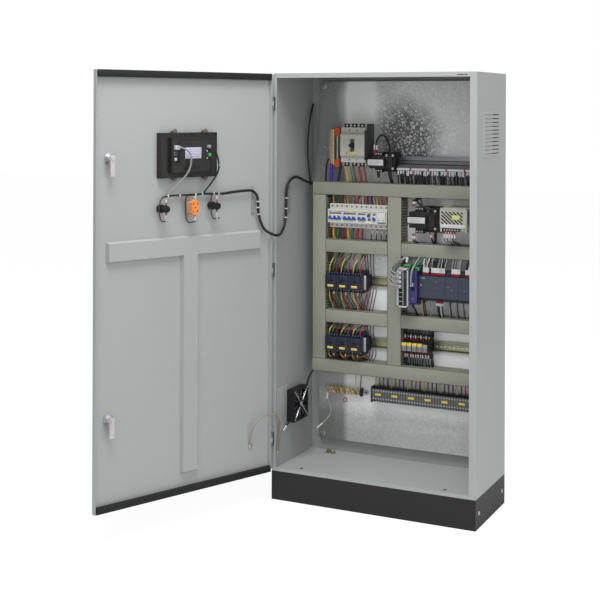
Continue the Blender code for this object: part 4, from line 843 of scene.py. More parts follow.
contactor_black = coat("blue-black moulded contactor", "1b2136", 0.42, tone=0.08, patch=0.02)
chromate = coat("yellow chromate rail", "9c9e80", 0.35, 0.7, tone=0.1, patch=0.012)
screw_blue = coat("oiled steel screw", "68748c", 0.35, 0.7)
stop_white = coat("white moulded end stop", "aeb0b1", 0.5)
phases = [tint for third in (wire_wine, wire_pink, wire_red) for tint in (wire_yellow, wire_green, third)]
unit_width = 0.044
for name, duct_above, duct_below in (
    ("contactors_upper", "duct_row1_left", "duct_row2_left"),
    ("contactors_lower", "duct_row2_left", "duct_bottom"),
):
    dress(contactor_black, name)
    low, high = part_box(name)
    z, face = (low[2] + high[2]) / 2, low[1]
    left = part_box("duct_left")[1][0] + 0.006
    edge_above, edge_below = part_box(duct_above)[0][2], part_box(duct_below)[1][2]
    made = open_piece(name + "_details", contactor_black, screw_blue, yellow, stop_white, void, chromate)
    for unit in range(3):
        x = left + unit * unit_width
        for pole in range(4):
            px = x + 0.0065 + pole * 0.0103
            for end in (1, -1):
                stud(px, z + end * 0.027, face + 0.0205, face + 0.0185, 0.0031, 1, 10)
            for end in (1, -1):
                pad(px + 0.0051, z + end * 0.03, 0.0007, 0.0065, face + 0.015, face + 0.0205)
        block((x + 0.01, face - 0.001, z - 0.017), (x + 0.031, face + 0.001, z - 0.0095), 2)
        block((x + 0.006, face - 0.0008, z - 0.006), (x + 0.038, face + 0.001, z + 0.016))
        block((x + 0.016, face - 0.0014, z - 0.001), (x + 0.028, face, z + 0.01), 4)
        stud(x + 0.033, z + 0.019, face, face - 0.0008, 0.0016, 1, 10)
    end = left + 3 * unit_width
    block((end - 0.0002, face + 0.028, z - 0.0235), (end + 0.0078, face + 0.0305, z + 0.0235), 3)
    block((end + 0.0085, 0.2563, z + 0.0133), (high[0] - 0.0005, 0.2572, z + 0.0175), 5)
    block((end + 0.0085, 0.2563, z - 0.0175), (high[0] - 0.0005, 0.2572, z - 0.0133), 5)
    block((end + 0.0085, 0.2628, z - 0.013), (high[0] - 0.0005, 0.2638, z + 0.013), 5)
    close_piece(made, "cabinet", 0.0003)
    runs = []
    for unit in range(3):
        for pole in range(3):
            x = left + unit * unit_width + 0.0085 + pole * 0.0125
            tint = phases[unit * 3 + pole]
            lean = 0.012 + rng.uniform(-0.002, 0.006)
            runs.append((tint, 0.0023, drop(x, face + 0.021, z + 0.029, 0.228, edge_above + tuck, lean, 0.004)))
            if pole == 0:
                runs.append((wire_black, 0.0018,
                    drop(x + 0.005, face + 0.022, z + 0.03, 0.236, edge_above + tuck, 0.02)))
            lean = 0.006 + rng.uniform(-0.006, 0.006)
            swell = 0.01 if name == "contactors_lower" else 0.004
            tint = (wire_yellow, wire_red if unit else wire_wine, wire_green)[pole]
            runs.append((tint, 0.0021, drop(x, face + 0.021, z - 0.029, 0.226, edge_below - tuck, lean, swell)))
            if pole == 1:
                runs += collars(x + 0.004, face + 0.02, z - 0.028, -1, 0.009)
            runs.append((wire_black, 0.0017,
                drop(x + 0.004, face + 0.024, z - 0.03, 0.232, edge_below - tuck, lean + 0.008)))
    for step in range(4):
        x = left + 3 * unit_width + step * 0.011
        runs.append((wire_black, 0.0015,
            drop(x, 0.236 - 0.004 * step, z + 0.02, 0.24, edge_above + tuck, -0.01, 0.002)))
        runs.append((wire_black, 0.0015, [
            (x, 0.238, z - 0.018), (x + 0.01, 0.226, z - 0.03), (x + 0.006, 0.222, z - 0.044),
            (x - 0.01, 0.23, edge_below - tuck)]))
    runs.append((wire_red, 0.0016, [
        (end, 0.22, z - 0.03), (end + 0.016, 0.216, z - 0.036), (end + 0.01, 0.222, z - 0.05),
        (end + 0.004, 0.23, edge_below - tuck)]))
    strands(name + "_wires", runs)


# ---------------------------------------------------------------- network switch
# A slim switch in a bright metal frame. Eight sockets run down a black face: four hold grey patch cords that come
# over the middle duct, four are empty.

frame_white = coat("bright nickel-plated frame", "b9bcbe", 0.35, 0.3, tone=0.04, patch=0.02)
plug_clear = coat("clear plug body", "b9bcc4", 0.25)
wire_orange = sheath("orange PVC insulation", "d98a55")
dress(frame_white, "ethernet_switch")
low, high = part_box("ethernet_switch")
front = low[1]
first_socket, socket_pitch = low[2] + 0.0125, 0.0145
switch = open_piece("switch_face", frame_white, void, soot, plug_clear, faint)
block((low[0] + 0.006, front - 0.0003, low[2] + 0.005), (high[0] - 0.005, front + 0.0003, high[2] - 0.005), 2)
for z_low, z_high in ((low[2] - 0.0005, low[2] + 0.005), (high[2] - 0.005, high[2] + 0.0005)):
    block((low[0] - 0.0005, front - 0.0022, z_low), (high[0] + 0.0003, front + 0.002, z_high))
for x_low, x_high in ((low[0] - 0.0005, low[0] + 0.0055), (high[0] - 0.0045, high[0] + 0.0003)):
    block((x_low, front - 0.0022, low[2]), (x_high, front + 0.002, high[2]))
block((low[0] + 0.0198, front - 0.001, low[2] + 0.005), (low[0] + 0.0218, front, high[2] - 0.005), 0)
for step in range(4):
    stud(low[0] + 0.028, low[2] + 0.096 + step * 0.005, front, front - 0.0008, 0.0012, 4, 8)
for step in range(8):
    z = first_socket + step * socket_pitch
    block((low[0] + 0.0075, front - 0.001, z - 0.0056), (low[0] + 0.0185, front - 0.0002, z + 0.0056), 1)
    block((low[0] + 0.0065, front - 0.0014, z + 0.0062), (low[0] + 0.019, front - 0.0002, z + 0.008), 0)
    if step > 3:
        block((low[0] + 0.0085, front - 0.014, z - 0.0045), (low[0] + 0.0175, front - 0.0005, z + 0.0045), 3)
close_piece(switch, "cabinet", 0.0003)

row1_right_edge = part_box("duct_row1_right")[0][2]
runs = []
for step in range(4):
    z = first_socket + (step + 4) * socket_pitch
    reach = 0.03 + 0.008 * (3 - step)
    runs.append((wire_grey, 0.0026, [
        (low[0] + 0.012, front - 0.012, z), (low[0] + 0.004, front - 0.022, z),
        (low[0] - 0.012, front - 0.026, z + 0.004),
        (low[0] - 0.4 * reach - 0.006, front - 0.006, z + 0.022),
        (low[0] - 0.014 + 0.004 * step, 0.194, z + 0.044),
        (low[0] + 0.004 + 0.004 * step, 0.196, row1_right_edge - 0.01),
        (low[0] + 0.008 + 0.004 * step, 0.212, row1_right_edge + tuck)]))
for offset, tint in ((0.0, wire_orange), (0.004, wire_white)):
    z = first_socket + 3.6 * socket_pitch
    runs.append((tint, 0.0014, [
        (low[0] + 0.01, front - 0.004, z + offset), (low[0] - 0.002, front - 0.012, z + 0.004 + offset),
        (low[0] - 0.016, front - 0.012, z + 0.014 + offset),
        (low[0] - 0.028, front + 0.01, z + 0.028 + offset)]))
strands("patch_cords", runs)


# ---------------------------------------------------------------- communication module and controller
# Plastic-cased modules side by side. The blue-violet one has two sockets and green plug-in terminals above it.
# The slate-grey controller and its two expansion modules have hinged covers, lamps and rows of ferruled wires.

violet = coat("blue-violet moulded case", "34336e", 0.42, tone=0.05, patch=0.03)
slate = coat("slate moulded case", "383d4f", 0.45, tone=0.03, patch=0.03)
slate_dark = coat("slate cover edge", "2f343f", 0.45)
teal = coat("teal printed bar", "4fa3a6", 0.45)
plug_green = coat("green plug-in terminal", "3d9a58", 0.4, tone=0.05, patch=0.01)
lamp_red = coat("red lamp", "e0523c", 0.3)
dress(violet, "comm_module")
dress(slate, "plc_cpu", "io_modules")
low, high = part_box("comm_module")
front = low[1]
module = open_piece("comm_module_face", violet, void, plug_clear, lamp_red, plug_green, slate_dark)
block((low[0] + 0.003, front - 0.001, high[2] - 0.03), (high[0] - 0.003, front + 0.001, high[2] - 0.01), 0)
block((low[0] + 0.006, front - 0.0012, low[2] + 0.048), (low[0] + 0.018, front - 0.0002, low[2] + 0.06), 1)
block((low[0] + 0.006, front - 0.01, low[2] + 0.064), (low[0] + 0.016, front - 0.0002, low[2] + 0.074), 2)
stud(low[0] + 0.011, low[2] + 0.022, front, front - 0.0012, 0.0022, 3, 12)
block((low[0] - 0.0002, front + 0.001, low[2] + 0.002), (low[0] + 0.0008, front + 0.03, high[2] - 0.002), 5)
for x, width, z in ((low[0] - 0.022, 0.022, high[2] - 0.001), (low[0] + 0.006, 0.024, high[2] - 0.008)):
    block((x, front + 0.006, z), (x + width, front + 0.026, z + 0.011), 4)
    for step in range(3):
        block((x + 0.002 + step * 0.0065, front + 0.0052, z + 0.002),
            (x + 0.0065 + step * 0.0065, front + 0.0062, z + 0.007), 1)
close_piece(module, "cabinet", 0.0004)

runs = [
    (wire_grey, 0.0034, [
        (low[0] + 0.011, front - 0.009, low[2] + 0.069), (low[0] + 0.011, front - 0.017, low[2] + 0.078),
        (low[0] + 0.012, front - 0.016, low[2] + 0.1), (low[0] + 0.013, front - 0.01, low[2] + 0.122),
        (low[0] + 0.02, 0.196, row1_right_edge - 0.004), (low[0] + 0.024, 0.212, row1_right_edge + tuck)]),
    (wire_black, 0.003, [(low[0] + 0.006, front + 0.014, low[2]), (low[0] + 0.01, front + 0.02, low[2] - 0.016),
                          (low[0] + 0.014, 0.216, low[2] - 0.03), (low[0] + 0.014, 0.226, low[2] - 0.06)]),
    (wire_green, 0.0028, [(low[0] + 0.018, front + 0.012, high[2] + 0.003),
    (low[0] + 0.026, 0.19, high[2] + 0.018),
                          (low[0] + 0.04, 0.206, row1_right_edge + 0.003)]),
    (ferrule, 0.0042, [(low[0] - 0.014, front + 0.012, high[2] + 0.009),
    (low[0] - 0.014, front + 0.012, high[2] + 0.017)]),
    (sleeve, 0.0042, [(low[0] - 0.014, front + 0.012, high[2] + 0.017),
    (low[0] - 0.012, front + 0.014, high[2] + 0.033)]),
]
strands("comm_module_cables", runs)

cases = open_piece("controller_faces", slate_dark, teal, lamp_red, void, label, faint)
cpu_low, cpu_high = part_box("plc_cpu")
io_low, io_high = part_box("io_modules")
face = cpu_low[1]
z_mid = (cpu_low[2] + cpu_high[2]) / 2
spans = ((cpu_low[0], cpu_high[0]), (io_low[0], io_low[0] + 0.0445), (io_low[0] + 0.045, io_low[0] + 0.0895))
for x_low, x_high in spans:
    for z in (z_mid + 0.0135, z_mid - 0.012):
        block((x_low + 0.001, face - 0.0004, z), (x_high - 0.001, face + 0.0004, z + 0.0012), 0)
    block((x_high - 0.0008, face - 0.0004, z_mid - 0.0355), (x_high + 0.0002, face + 0.001, z_mid + 0.0355), 0)
    for end in (-1, 1):
        z = z_mid + end * 0.042
        block((x_low + 0.002, face + 0.014, z - 0.0042), (x_high - 0.002, face + 0.0153, z + 0.0042), 0)
        for step in range(int((x_high - x_low - 0.008) / 0.0056)):
            x = x_low + 0.0055 + step * 0.0056
            stud(x, z, face + 0.0144, face + 0.0136, 0.0018, 3, 8)
block((cpu_low[0] + 0.006, face - 0.0006, z_mid + 0.027), (cpu_low[0] + 0.02, face, z_mid + 0.0305), 1)
for x, z, tint in ((0.006, 0.0075, 2), (0.006, 0.004, 4), (0.058, 0.018, 5), (0.1, 0.004, 2),
        (0.112, -0.006, 5), (0.155, -0.006, 5)):
    stud(cpu_low[0] + x, z_mid + z, face, face - 0.0008, 0.0018, tint, 10)
close_piece(cases, "cabinet", 0.0002)

runs = []
groups = ((0.012, 5), (0.041, 10), (0.072, 4), (0.111, 7), (0.158, 5))
for offset, count in groups:
    for step in range(count):
        x = cpu_low[0] + offset + step * 0.0042
        if x > io_high[0] - 0.003:
            break
        z = cpu_high[2] - 0.01
        runs += [
            (ferrule, 0.0025, [(x, face + 0.0095, z), (x, face + 0.009, z + 0.009)]),
            (sleeve, 0.0026, [(x, face + 0.009, z + 0.009), (x, face + 0.009, z + 0.025)]),
            (rng.choice((wire_grey, wire_black, wire_white, wire_black)), 0.0023, [
                (x, face + 0.01, z + 0.024), (x + rng.uniform(-0.004, 0.006), face + 0.008, z + 0.034),
                (x + rng.uniform(-0.004, 0.01), 0.2, z + 0.048), (x + 0.004, 0.212, row1_right_edge + tuck)])]
row2_right_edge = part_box("duct_row2_right")[1][2]
for offset, tint in (
    (0.004, wire_yellow), (0.01, wire_black), (0.015, wire_black), (0.03, wire_grey), (0.033, wire_grey),
    (0.06, wire_black),
    (0.065, wire_black), (0.07, wire_white), (0.075, wire_black), (0.098, wire_grey), (0.104, wire_black),
    (0.122, wire_grey),
    (0.128, wire_black), (0.148, wire_black), (0.172, wire_black),
):
    x = cpu_low[0] + offset
    runs.append((tint, 0.0022, [
        (x, face + 0.016, cpu_low[2] + 0.003),
        (x + rng.uniform(-0.003, 0.003), face + 0.014, cpu_low[2] - 0.012),
        (x + rng.uniform(-0.004, 0.004), 0.206, cpu_low[2] - 0.026), (x, 0.224, row2_right_edge - tuck)]))
for step in range(5):
    x = cpu_low[0] + 0.058 + step * 0.005
    runs += [(ferrule, 0.0024, [(x, face + 0.01, cpu_low[2] + 0.004), (x, face + 0.01, cpu_low[2] - 0.004)]),
             (sleeve, 0.0023, [(x, face + 0.01, cpu_low[2] - 0.004), (x, face + 0.012, cpu_low[2] - 0.013)])]
strands("controller_wires", runs)


# ---------------------------------------------------------------- plug-in relays
# Five relays with grey covers and yellow tops in black sockets. Ferruled wires enter above and below, and the
# slotted rail runs on to the right.

relay_case = coat("smoked grey relay cover", "8e9092", 0.3, tone=0.08, patch=0.01)
dress(soot, "relay_row")
low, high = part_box("relay_row")
z = (low[2] + high[2]) / 2
face = low[1]
relay_width = 0.0184
sockets = open_piece("relay_covers", relay_case, yellow, soot, chromate, zinc)
edge_above, edge_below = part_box("duct_row2_right")[0][2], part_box("duct_bottom")[1][2]
runs = []
for step in range(5):
    x = low[0] + 0.0006 + step * relay_width
    block((x + 0.0012, face - 0.001, z - 0.0128), (x + 0.0165, face + 0.018, z + 0.0128))
    if step < 4:
        block((x + 0.0008, face - 0.0014, z + 0.004), (x + 0.0168, face + 0.01, z + 0.0132), 1)
    block((x + 0.004, face - 0.0013, z - 0.0105), (x + 0.006, face, z + 0.002), 2)
    block((x + 0.0115, face - 0.0013, z - 0.0105), (x + 0.0135, face, z + 0.002), 2)
    for end in (-1, 1):
        for shift in (0.0048, 0.013):
            stud(x + shift, z + end * 0.03, face + 0.0305, face + 0.029, 0.003, 4, 10)
            tilt = rng.uniform(-0.0015, 0.0015)
            runs += collars(x + shift + tilt, face + 0.0245, z + end * 0.019, end, 0.011,
                end < 0 or shift < 0.01)
            edge = edge_above + tuck if end > 0 else edge_below - tuck
            lean = rng.uniform(-0.004, 0.004)
            runs.append((wire_black, 0.0022,
                drop(x + shift + tilt, face + 0.0245, z + end * 0.037, 0.232, edge, lean, 0.003)))
rail_start = low[0] + 0.094
for z_low, z_high, y in ((0.0133, 0.0177, 0.256), (-0.0177, -0.0133, 0.256), (-0.013, 0.013, 0.2625)):
    block((rail_start, y, z + z_low), (high[0], y + 0.0012, z + z_high), 3)
for step in range(12):
    x = rail_start + 0.006 + step * 0.015
    if x + 0.008 < high[0]:
        block((x, 0.2622, z - 0.0026), (x + 0.0075, 0.2628, z + 0.0026), 4)
close_piece(sockets, "cabinet", 0.0004)
for shift in (0.096, 0.101):
    runs.append((wire_black, 0.0024, [
        (low[0] + shift, 0.24, edge_above + tuck), (low[0] + shift + 0.002, 0.23, z + 0.036),
        (low[0] + shift + 0.001, 0.238, z + 0.02)]))
    runs.append((wire_black, 0.0022, [
        (low[0] + shift, 0.24, edge_below - tuck), (low[0] + shift + 0.004, 0.226, z - 0.034),
        (low[0] + shift, 0.23, z - 0.02)]))
strands("relay_wires", runs)


# ---------------------------------------------------------------- lower terminal row
# Dark terminals of two sizes on a hidden rail: clamp screws in two lines, joints every 9 mm, six yellow marker
# tabs and a wire of each phase colour in turn from the bottom duct.

marker_yellow = coat("yellow marker tab", "d8c136", 0.45, tone=0.04, patch=0.01)
dress(terminal_grey, "terminal_row_lower")
low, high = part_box("terminal_row_lower")
start_x, end_x = low[0] + 0.002, high[0] - 0.012
z, face = (low[2] + high[2]) / 2, low[1]
row = open_piece("lower_terminals", zinc, marker_yellow, void, stop_white, slate_dark)
pitch = 0.0093
count = int((end_x - start_x) / pitch)
for step in range(count):
    x = start_x + 0.003 + step * pitch
    block((x + 0.0078, face - 0.0006, z - 0.025), (x + 0.0086, face + 0.017, z + 0.025), 2)
    for offset in (0.0135, -0.013):
        stud(x + 0.004, z + offset, face + 0.0004, face - 0.0006, 0.0024, 3, 8)
    stud(x + 0.004, z - 0.0215, face + 0.0174, face + 0.016, 0.0022, 0, 8)
    block((x + 0.001, face + 0.0165, z + 0.0195), (x + 0.007, face + 0.0174, z + 0.0245), 2)
for step in range(6):
    x = start_x + 0.014 + step * 0.059
    block((x, face - 0.0016, z - 0.0025), (x + 0.021, face, z + 0.0045), 1)
for x in (start_x - 0.002, end_x - 0.004):
    block((x, face - 0.002, z - 0.0262), (x + 0.006, face + 0.034, z + 0.0262), 4)
close_piece(row, "cabinet", 0.0003)
bottom_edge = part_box("duct_bottom")[0][2]
cycle = (wire_yellow, wire_green, wire_wine, wire_blue) * 2 + (wire_yellow, wire_green, wire_red, wire_blue)
runs = []
for step in range(25):
    x = start_x + 0.009 + step * (end_x - start_x - 0.018) / 24
    tint = cycle[step % len(cycle)]
    runs.append((tint, 0.0025, [
        (x, face + 0.02, z + 0.0215), (x, face + 0.016, z + 0.034),
        (x + rng.uniform(-0.002, 0.002), 0.236, z + 0.05),
        (x, 0.238, bottom_edge + tuck)]))
strands("lower_terminal_wires", runs)


# ---------------------------------------------------------------- earth bar
# A copper and brass bar on spacers with bare and sleeved earth leads wound to its screws, a black end cap and a
# pale round pad beside it.

copper = coat("tarnished copper", "8d7a58", 0.35, 0.6, tone=0.2, patch=0.008)
dress(brass, "earth_bar")
low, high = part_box("earth_bar")
z = (low[2] + high[2]) / 2
bar = open_piece("earth_bar_screws", brass, zinc, soot, stop_white, copper)
for step in range(10):
    x = low[0] + 0.008 + step * 0.0115
    stud(x, z + 0.004, low[1], low[1] - 0.005, 0.004, 4 if step % 2 else 0, 6)
    stud(x + 0.005, z - 0.005, low[1], low[1] - 0.003, 0.0028, 1 if step % 3 == 0 else 0, 10)
block((high[0] - 0.004, low[1] - 0.004, z - 0.0125), (high[0] + 0.004, low[1] + 0.01, z + 0.0135), 2)
stud(high[0] + 0.012, z - 0.002, 0.2646, 0.262, 0.0085, 3, 24)
stud(high[0] + 0.012, z - 0.002, 0.2622, 0.2612, 0.003, 2, 12)
stud(low[0] - 0.01, z + 0.006, 0.2646, 0.259, 0.005, 1, 6)
close_piece(bar, "cabinet", 0.0005)
earth_sheath = sheath("pale yellow-green earth sheath", "c4b88a")
lead_grey = sheath("pale grey earth lead", "8c8d84", 0.45)
runs = []
for step in range(11):
    x = low[0] + 0.006 + step * 0.0105
    runs.append((rng.choice((copper, brass, earth_sheath)), 0.0022, [
        (x, low[1] - 0.004, z + 0.01), (x + 0.006, low[1] - 0.007, z + 0.002),
        (x + 0.01, low[1] - 0.004, z - 0.009)]))
runs += [
    (earth_sheath, 0.0016, [(high[0] - 0.016, 0.236, z + 0.004), (high[0] - 0.016, 0.234, z + 0.03),
    (high[0] - 0.018, 0.24, bottom_edge + tuck)]),
    (wire_black, 0.0016, [(high[0] + 0.001, 0.236, z + 0.016), (high[0] + 0.003, 0.234, z + 0.04),
    (high[0] + 0.003, 0.24, bottom_edge + tuck)]),
    (sleeve, 0.003, [(low[0] + 0.002, 0.24, z - 0.012), (low[0] + 0.001, 0.238, z - 0.032)]),
    (lead_grey, 0.0022, [
        (low[0] + 0.001, 0.238, z - 0.032), (low[0] + 0.012, 0.236, z - 0.05),
        (low[0] + 0.024, 0.232, z - 0.066),
        (low[0] + 0.018, 0.22, z - 0.09), (low[0] + 0.002, 0.2, z - 0.108)]),
    (sleeve, 0.003, [(low[0] + 0.002, 0.2, z - 0.108), (low[0] - 0.014, 0.19, z - 0.124)]),
    (lead_grey, 0.002, [(low[0] - 0.014, 0.19, z - 0.124), (low[0] - 0.022, 0.184, z - 0.134),
    (low[0] - 0.03, 0.18, z - 0.15)]),
]
strands("earth_bar_leads", runs)


# ---------------------------------------------------------------- floor fixings
# Two zinc-plated socket screws in the floor sheet, and at the back three earthing studs with a copper link
# between them.

floor_top = 0.0955
fixings = open_piece("floor_fixings", zinc, void, copper)
block((-0.276, 0.238, floor_top), (-0.238, 0.244, 0.099), 2)
for x, y in ((-0.2665, 0.0349), (0.2329, 0.0322)):
    drum((x, y, floor_top), (x, y, 0.0966), 0.0062, 0, 20)
    drum((x, y, 0.096), (x, y, 0.0976), 0.0042, 1, 6)
for x, y, radius in ((-0.2573, 0.2432, 0.0075), (-0.24, 0.24, 0.0045), (-0.27, 0.25, 0.0045)):
    drum((x, y, floor_top), (x, y, 0.0985), radius, 0, 16)
    drum((x, y, 0.098), (x, y, 0.108), 0.6 * radius, 2, 12)
close_piece(fixings, "cabinet", 0.0004)


# ---------------------------------------------------------------- fan
# A black axial fan on the left wall with a polished wire guard on four struts, screws in its corners and a black
# lead up to the bottom duct.

fan_black = coat("black glass-filled polyester", "0c0c0d", 0.5, tone=0.1, patch=0.02)
polished = coat("polished strut", "c6c3cf", 0.25, 0.6, tone=0.1, patch=0.01)
dress(fan_black, "fan_frame", "fan_rotor")
low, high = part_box("fan_frame")
y, z = (low[1] + high[1]) / 2, (low[2] + high[2]) / 2
face = high[0]
guard = open_piece("fan_guard", polished, fan_black, zinc)
for angle in (45, 135, 225, 315):
    ray_y, ray_z = math.cos(math.radians(angle)), math.sin(math.radians(angle))
    drum((face - 0.0005, y + 0.014 * ray_y, z + 0.014 * ray_z),
        (face - 0.0005, y + 0.06 * ray_y, z + 0.06 * ray_z), 0.0021, 0, 8)
    drum((face - 0.004, y + 0.066 * ray_y, z + 0.066 * ray_z),
        (face + 0.0018, y + 0.066 * ray_y, z + 0.066 * ray_z), 0.0038, 2, 8)
for radius in (0.017, 0.029, 0.04, 0.05):
    ring((face - 0.0006, y, z), radius, 0.0008, 1, "X")
drum((face - 0.002, y, z), (face + 0.0006, y, z), 0.014, 1, 24)
drum((face + 0.0004, y, z), (face + 0.0012, y, z), 0.0085, 0, 20)
close_piece(guard, "cabinet", 0.0003)
wall_face = -0.3472
flange = open_piece("fan_fixings", zinc, powder_coat)
block((wall_face, y - 0.124, z - 0.074), (-0.3455, y - 0.054, z + 0.072), 1)
for dz in (0.062, 0.044, 0.026, 0.008, -0.01, -0.03, -0.05):
    drum((-0.3456, y - 0.119 + 0.008 * (dz < 0.05), z + dz), (-0.3443, y - 0.119 + 0.008 * (dz < 0.05), z + dz),
        0.0022, 0, 10)
for dy, dz in ((-0.066, 0.058), (-0.066, -0.052)):
    drum((-0.347, y + dy, z + dz), (-0.344, y + dy, z + dz), 0.0036, 0, 12)
for step in range(10):
    angle = math.radians(36 * step + 12)
    ray_y, ray_z = math.cos(angle), math.sin(angle)
    drum((face - 0.0045, y + 0.018 * ray_y, z + 0.018 * ray_z),
        (face - 0.003, y + 0.046 * ray_y, z + 0.046 * ray_z), 0.0012, 0, 6)
close_piece(flange, "cabinet", 0.0004)
runs = [
    (wire_black, 0.004, [(-0.325, 0.188, 0.33), (-0.324, 0.195, 0.34), (-0.322, 0.204, 0.36),
    (-0.316, 0.216, 0.378), (-0.308, 0.224, 0.388)]),
    (wire_black, 0.0026, [(-0.34, 0.088, 0.23), (-0.34, 0.078, 0.223), (-0.341, 0.07, 0.22)]),
    (sleeve, 0.0034, [(-0.341, 0.07, 0.22), (-0.342, 0.05, 0.208)]),
    (lead_grey, 0.002, [(-0.342, 0.05, 0.208), (-0.343, 0.04, 0.2), (-0.344, 0.033, 0.188),
    (-0.3445, 0.028, 0.17), (-0.3445, 0.02, 0.145)]),
]
strands("fan_leads", runs)


# ---------------------------------------------------------------- hinges and locks
# Three plated steel hinge barrels stand in the gap beside the door. Two quarter-turn locks with zinc levers are
# clamped through the door by hexagonal nuts.

hinge_steel = coat("dull plated hinge steel", "76797a", 0.4, 0.6, tone=0.1, patch=0.02)
lever_zinc = coat("cast zinc lever", "c3c4c2", 0.35, 0.5, tone=0.08, patch=0.01)
dress(hinge_steel, *(name for name in nodes if name.startswith("hinge_")))
dress(lever_zinc, "lock_upper", "lock_lower")
gutter = open_piece("hinge_gutter", powder_coat)
block((-0.3489, -0.0262, 0.1), (-0.347, -0.0195, 1.396))
close_piece(gutter, "cabinet", 0.0003)
hinge_heights = (1.3004, 0.7535, 0.1976)
# Each hinge leaf has a slightly larger near-black block under it, painted shade round its edge.
leaves = open_piece("hinge_leaves", lever_zinc, void)
for z in hinge_heights:
    block((-0.3383, -0.0385, z - 0.038), (-0.3375, -0.0235, z + 0.038), 1)
    block((-0.3388, -0.036, z - 0.033), (-0.3375, -0.026, z + 0.033), 0)
close_piece(leaves, "door", 0.0002, on_door=True)
pins = open_piece("hinge_pins", zinc)
for z in hinge_heights:
    for end in (-1, 1):
        drum((hinge_x, hinge_y, z + end * 0.029), (hinge_x, hinge_y, z + end * 0.031), 0.0028, 0, 14)
close_piece(pins, "cabinet", 0.0002)
lock_x, door_face = 0.2788, -0.0372
lock_nuts = open_piece("lock_nuts", zinc, lever_zinc)
for z in (1.13565, 0.36551):
    stud(lock_x, z, door_face, -0.034, 0.0165, 0, 28)
    stud(lock_x, z, -0.0345, -0.029, 0.014, 0, 6)
    ring((lock_x, -0.029, z), 0.01, 0.0008, 1)
close_piece(lock_nuts, "door", 0.0005, on_door=True)


# ---------------------------------------------------------------- door seal and cable saddles
# Black rubber strips lie along the top and bottom of the door's inner face, and two grey adhesive saddles beside
# the hinge carry the harness.

rubber = coat("black sealing rubber", "121213", 0.75, grain=0.0006, tone=0.1, patch=0.02)
adhesive = coat("grey nylon saddle", "8b8e90", 0.5, tone=0.04, patch=0.02)
seal = open_piece("door_seal", rubber)
for z_low, z_high in ((1.377, 1.3984), (0.0956, 0.115)):
    block((-0.3362, door_face, z_low), (0.325, -0.0222, z_high))
close_piece(seal, "door", 0.0012, on_door=True)
saddles = open_piece("door_saddle", adhesive, zinc)
block((-0.27, door_face, 0.939), (-0.261, -0.034, 1.033))
block((-0.268, -0.035, 0.946), (-0.263, -0.031, 0.954))
block((-0.268, -0.035, 1.018), (-0.263, -0.031, 1.026))
stud(-0.26, 0.194, door_face, -0.032, 0.0065, 1, 6)
stud(-0.26, 0.194, -0.033, -0.027, 0.003, 1, 12)
close_piece(saddles, "door", 0.0004, on_door=True)
wall_saddle = open_piece("wall_saddle", adhesive)
block((wall_face, 0.088, 0.93), (-0.344, 0.1, 1.026))
for z in (0.94, 0.978, 1.016):
    block((-0.3445, 0.09, z - 0.004), (-0.34, 0.098, z + 0.004))
close_piece(wall_saddle, "cabinet", 0.0004)


# ---------------------------------------------------------------- operator panel
# The operator panel's graphite rear case has ribs, a pale rating plate left blank, a socket strip and a power
# plug. Four brass clamps pull it against the door, and its glass faces outwards.

graphite = coat("graphite moulded case", "1e1d1c", 0.5, tone=0.05, patch=0.03)
clamp_brass = coat("yellow-passivated clamp", "6f6a56", 0.35, 0.6, tone=0.1, patch=0.01)
dress(graphite, "hmi")
lilac = coat("pale lilac rating plate", "b9b9c8", 0.5, tone=0.03, patch=0.01)
panel_back = open_piece("panel_back", graphite, soot, void, clamp_brass, plug_clear, plug_green, faint, lilac)
mid_z = 1.1402
for half_width, half_height, rib, front, back in (
    (0.106, 0.0675, 0.0035, -0.0195, -0.0178), (0.074, 0.0515, 0.0025, -0.0055, -0.004),
):
    inner_width, inner_height = half_width - rib, half_height - rib
    for x_low, x_high, z_low, z_high in (
        (-half_width, half_width, inner_height, half_height),
        (-half_width, half_width, -half_height, -inner_height),
        (-half_width, -inner_width, -inner_height, inner_height),
        (inner_width, half_width, -inner_height, inner_height),
    ):
        block((x_low, front, mid_z + z_low), (x_high, back, mid_z + z_high))
for step in range(9):
    block((-0.028 + step * 0.007, -0.0056, mid_z - 0.044), (-0.025 + step * 0.007, -0.0047, mid_z - 0.03), 2)
block((-0.036, -0.0058, 1.13), (0.025, -0.0042, 1.164), 7)
for step in range(4):
    block((-0.031, -0.0043, 1.1575 - step * 0.0072),
        (0.015 - 0.008 * (step % 2), -0.004, 1.159 - step * 0.0072), 6)
block((0.044, -0.0058, 1.117), (0.072, -0.0046, 1.179), 1)
for z, tint, half in ((1.1649, 2, 0.007), (1.1465, 2, 0.005), (1.1289, 4, 0.005)):
    pad(0.0607, z, half, half, -0.0056, -0.0038, 6)
    block((0.0607 - 0.7 * half, -0.0042, z - 0.7 * half), (0.0607 + 0.7 * half, -0.003, z + 0.7 * half), tint)
block((0.053, -0.004, 1.159), (0.068, 0.008, 1.1705), 4)
block((-0.0735, -0.0058, 1.123), (-0.052, -0.0046, 1.176), 1)
for z in (1.152, 1.13):
    stud(-0.0586, z, -0.005, -0.0036, 0.0022, 4, 12)
block((-0.069, -0.005, 1.1355), (-0.06, 0.003, 1.1455), 5)
drum((-0.062, -0.005, 1.1655), (-0.064, 0.006, 1.1655), 0.005, 6, 16)
for x in (0.088, -0.006, -0.101, 0.098, -0.098):
    for end in (1, -1):
        stud(x, mid_z + end * 0.0645, -0.019, -0.0172, 0.0024, 2, 12)
for x, z, way in ((0.051, 1.2092, 1), (-0.066, 1.2092, 1), (0.051, 1.0712, -1), (-0.066, 1.0712, -1)):
    block((x - 0.007, -0.0368, z - 0.001), (x + 0.007, -0.02, z + way * 0.004 + 0.001), 3)
    ring((x, -0.023, z + way * 0.005), 0.006, 0.0013, 3)
    stud(x, z + way * 0.005, -0.037, -0.019, 0.0024, 3, 12)
close_piece(panel_back, "door", 0.0004, on_door=True)


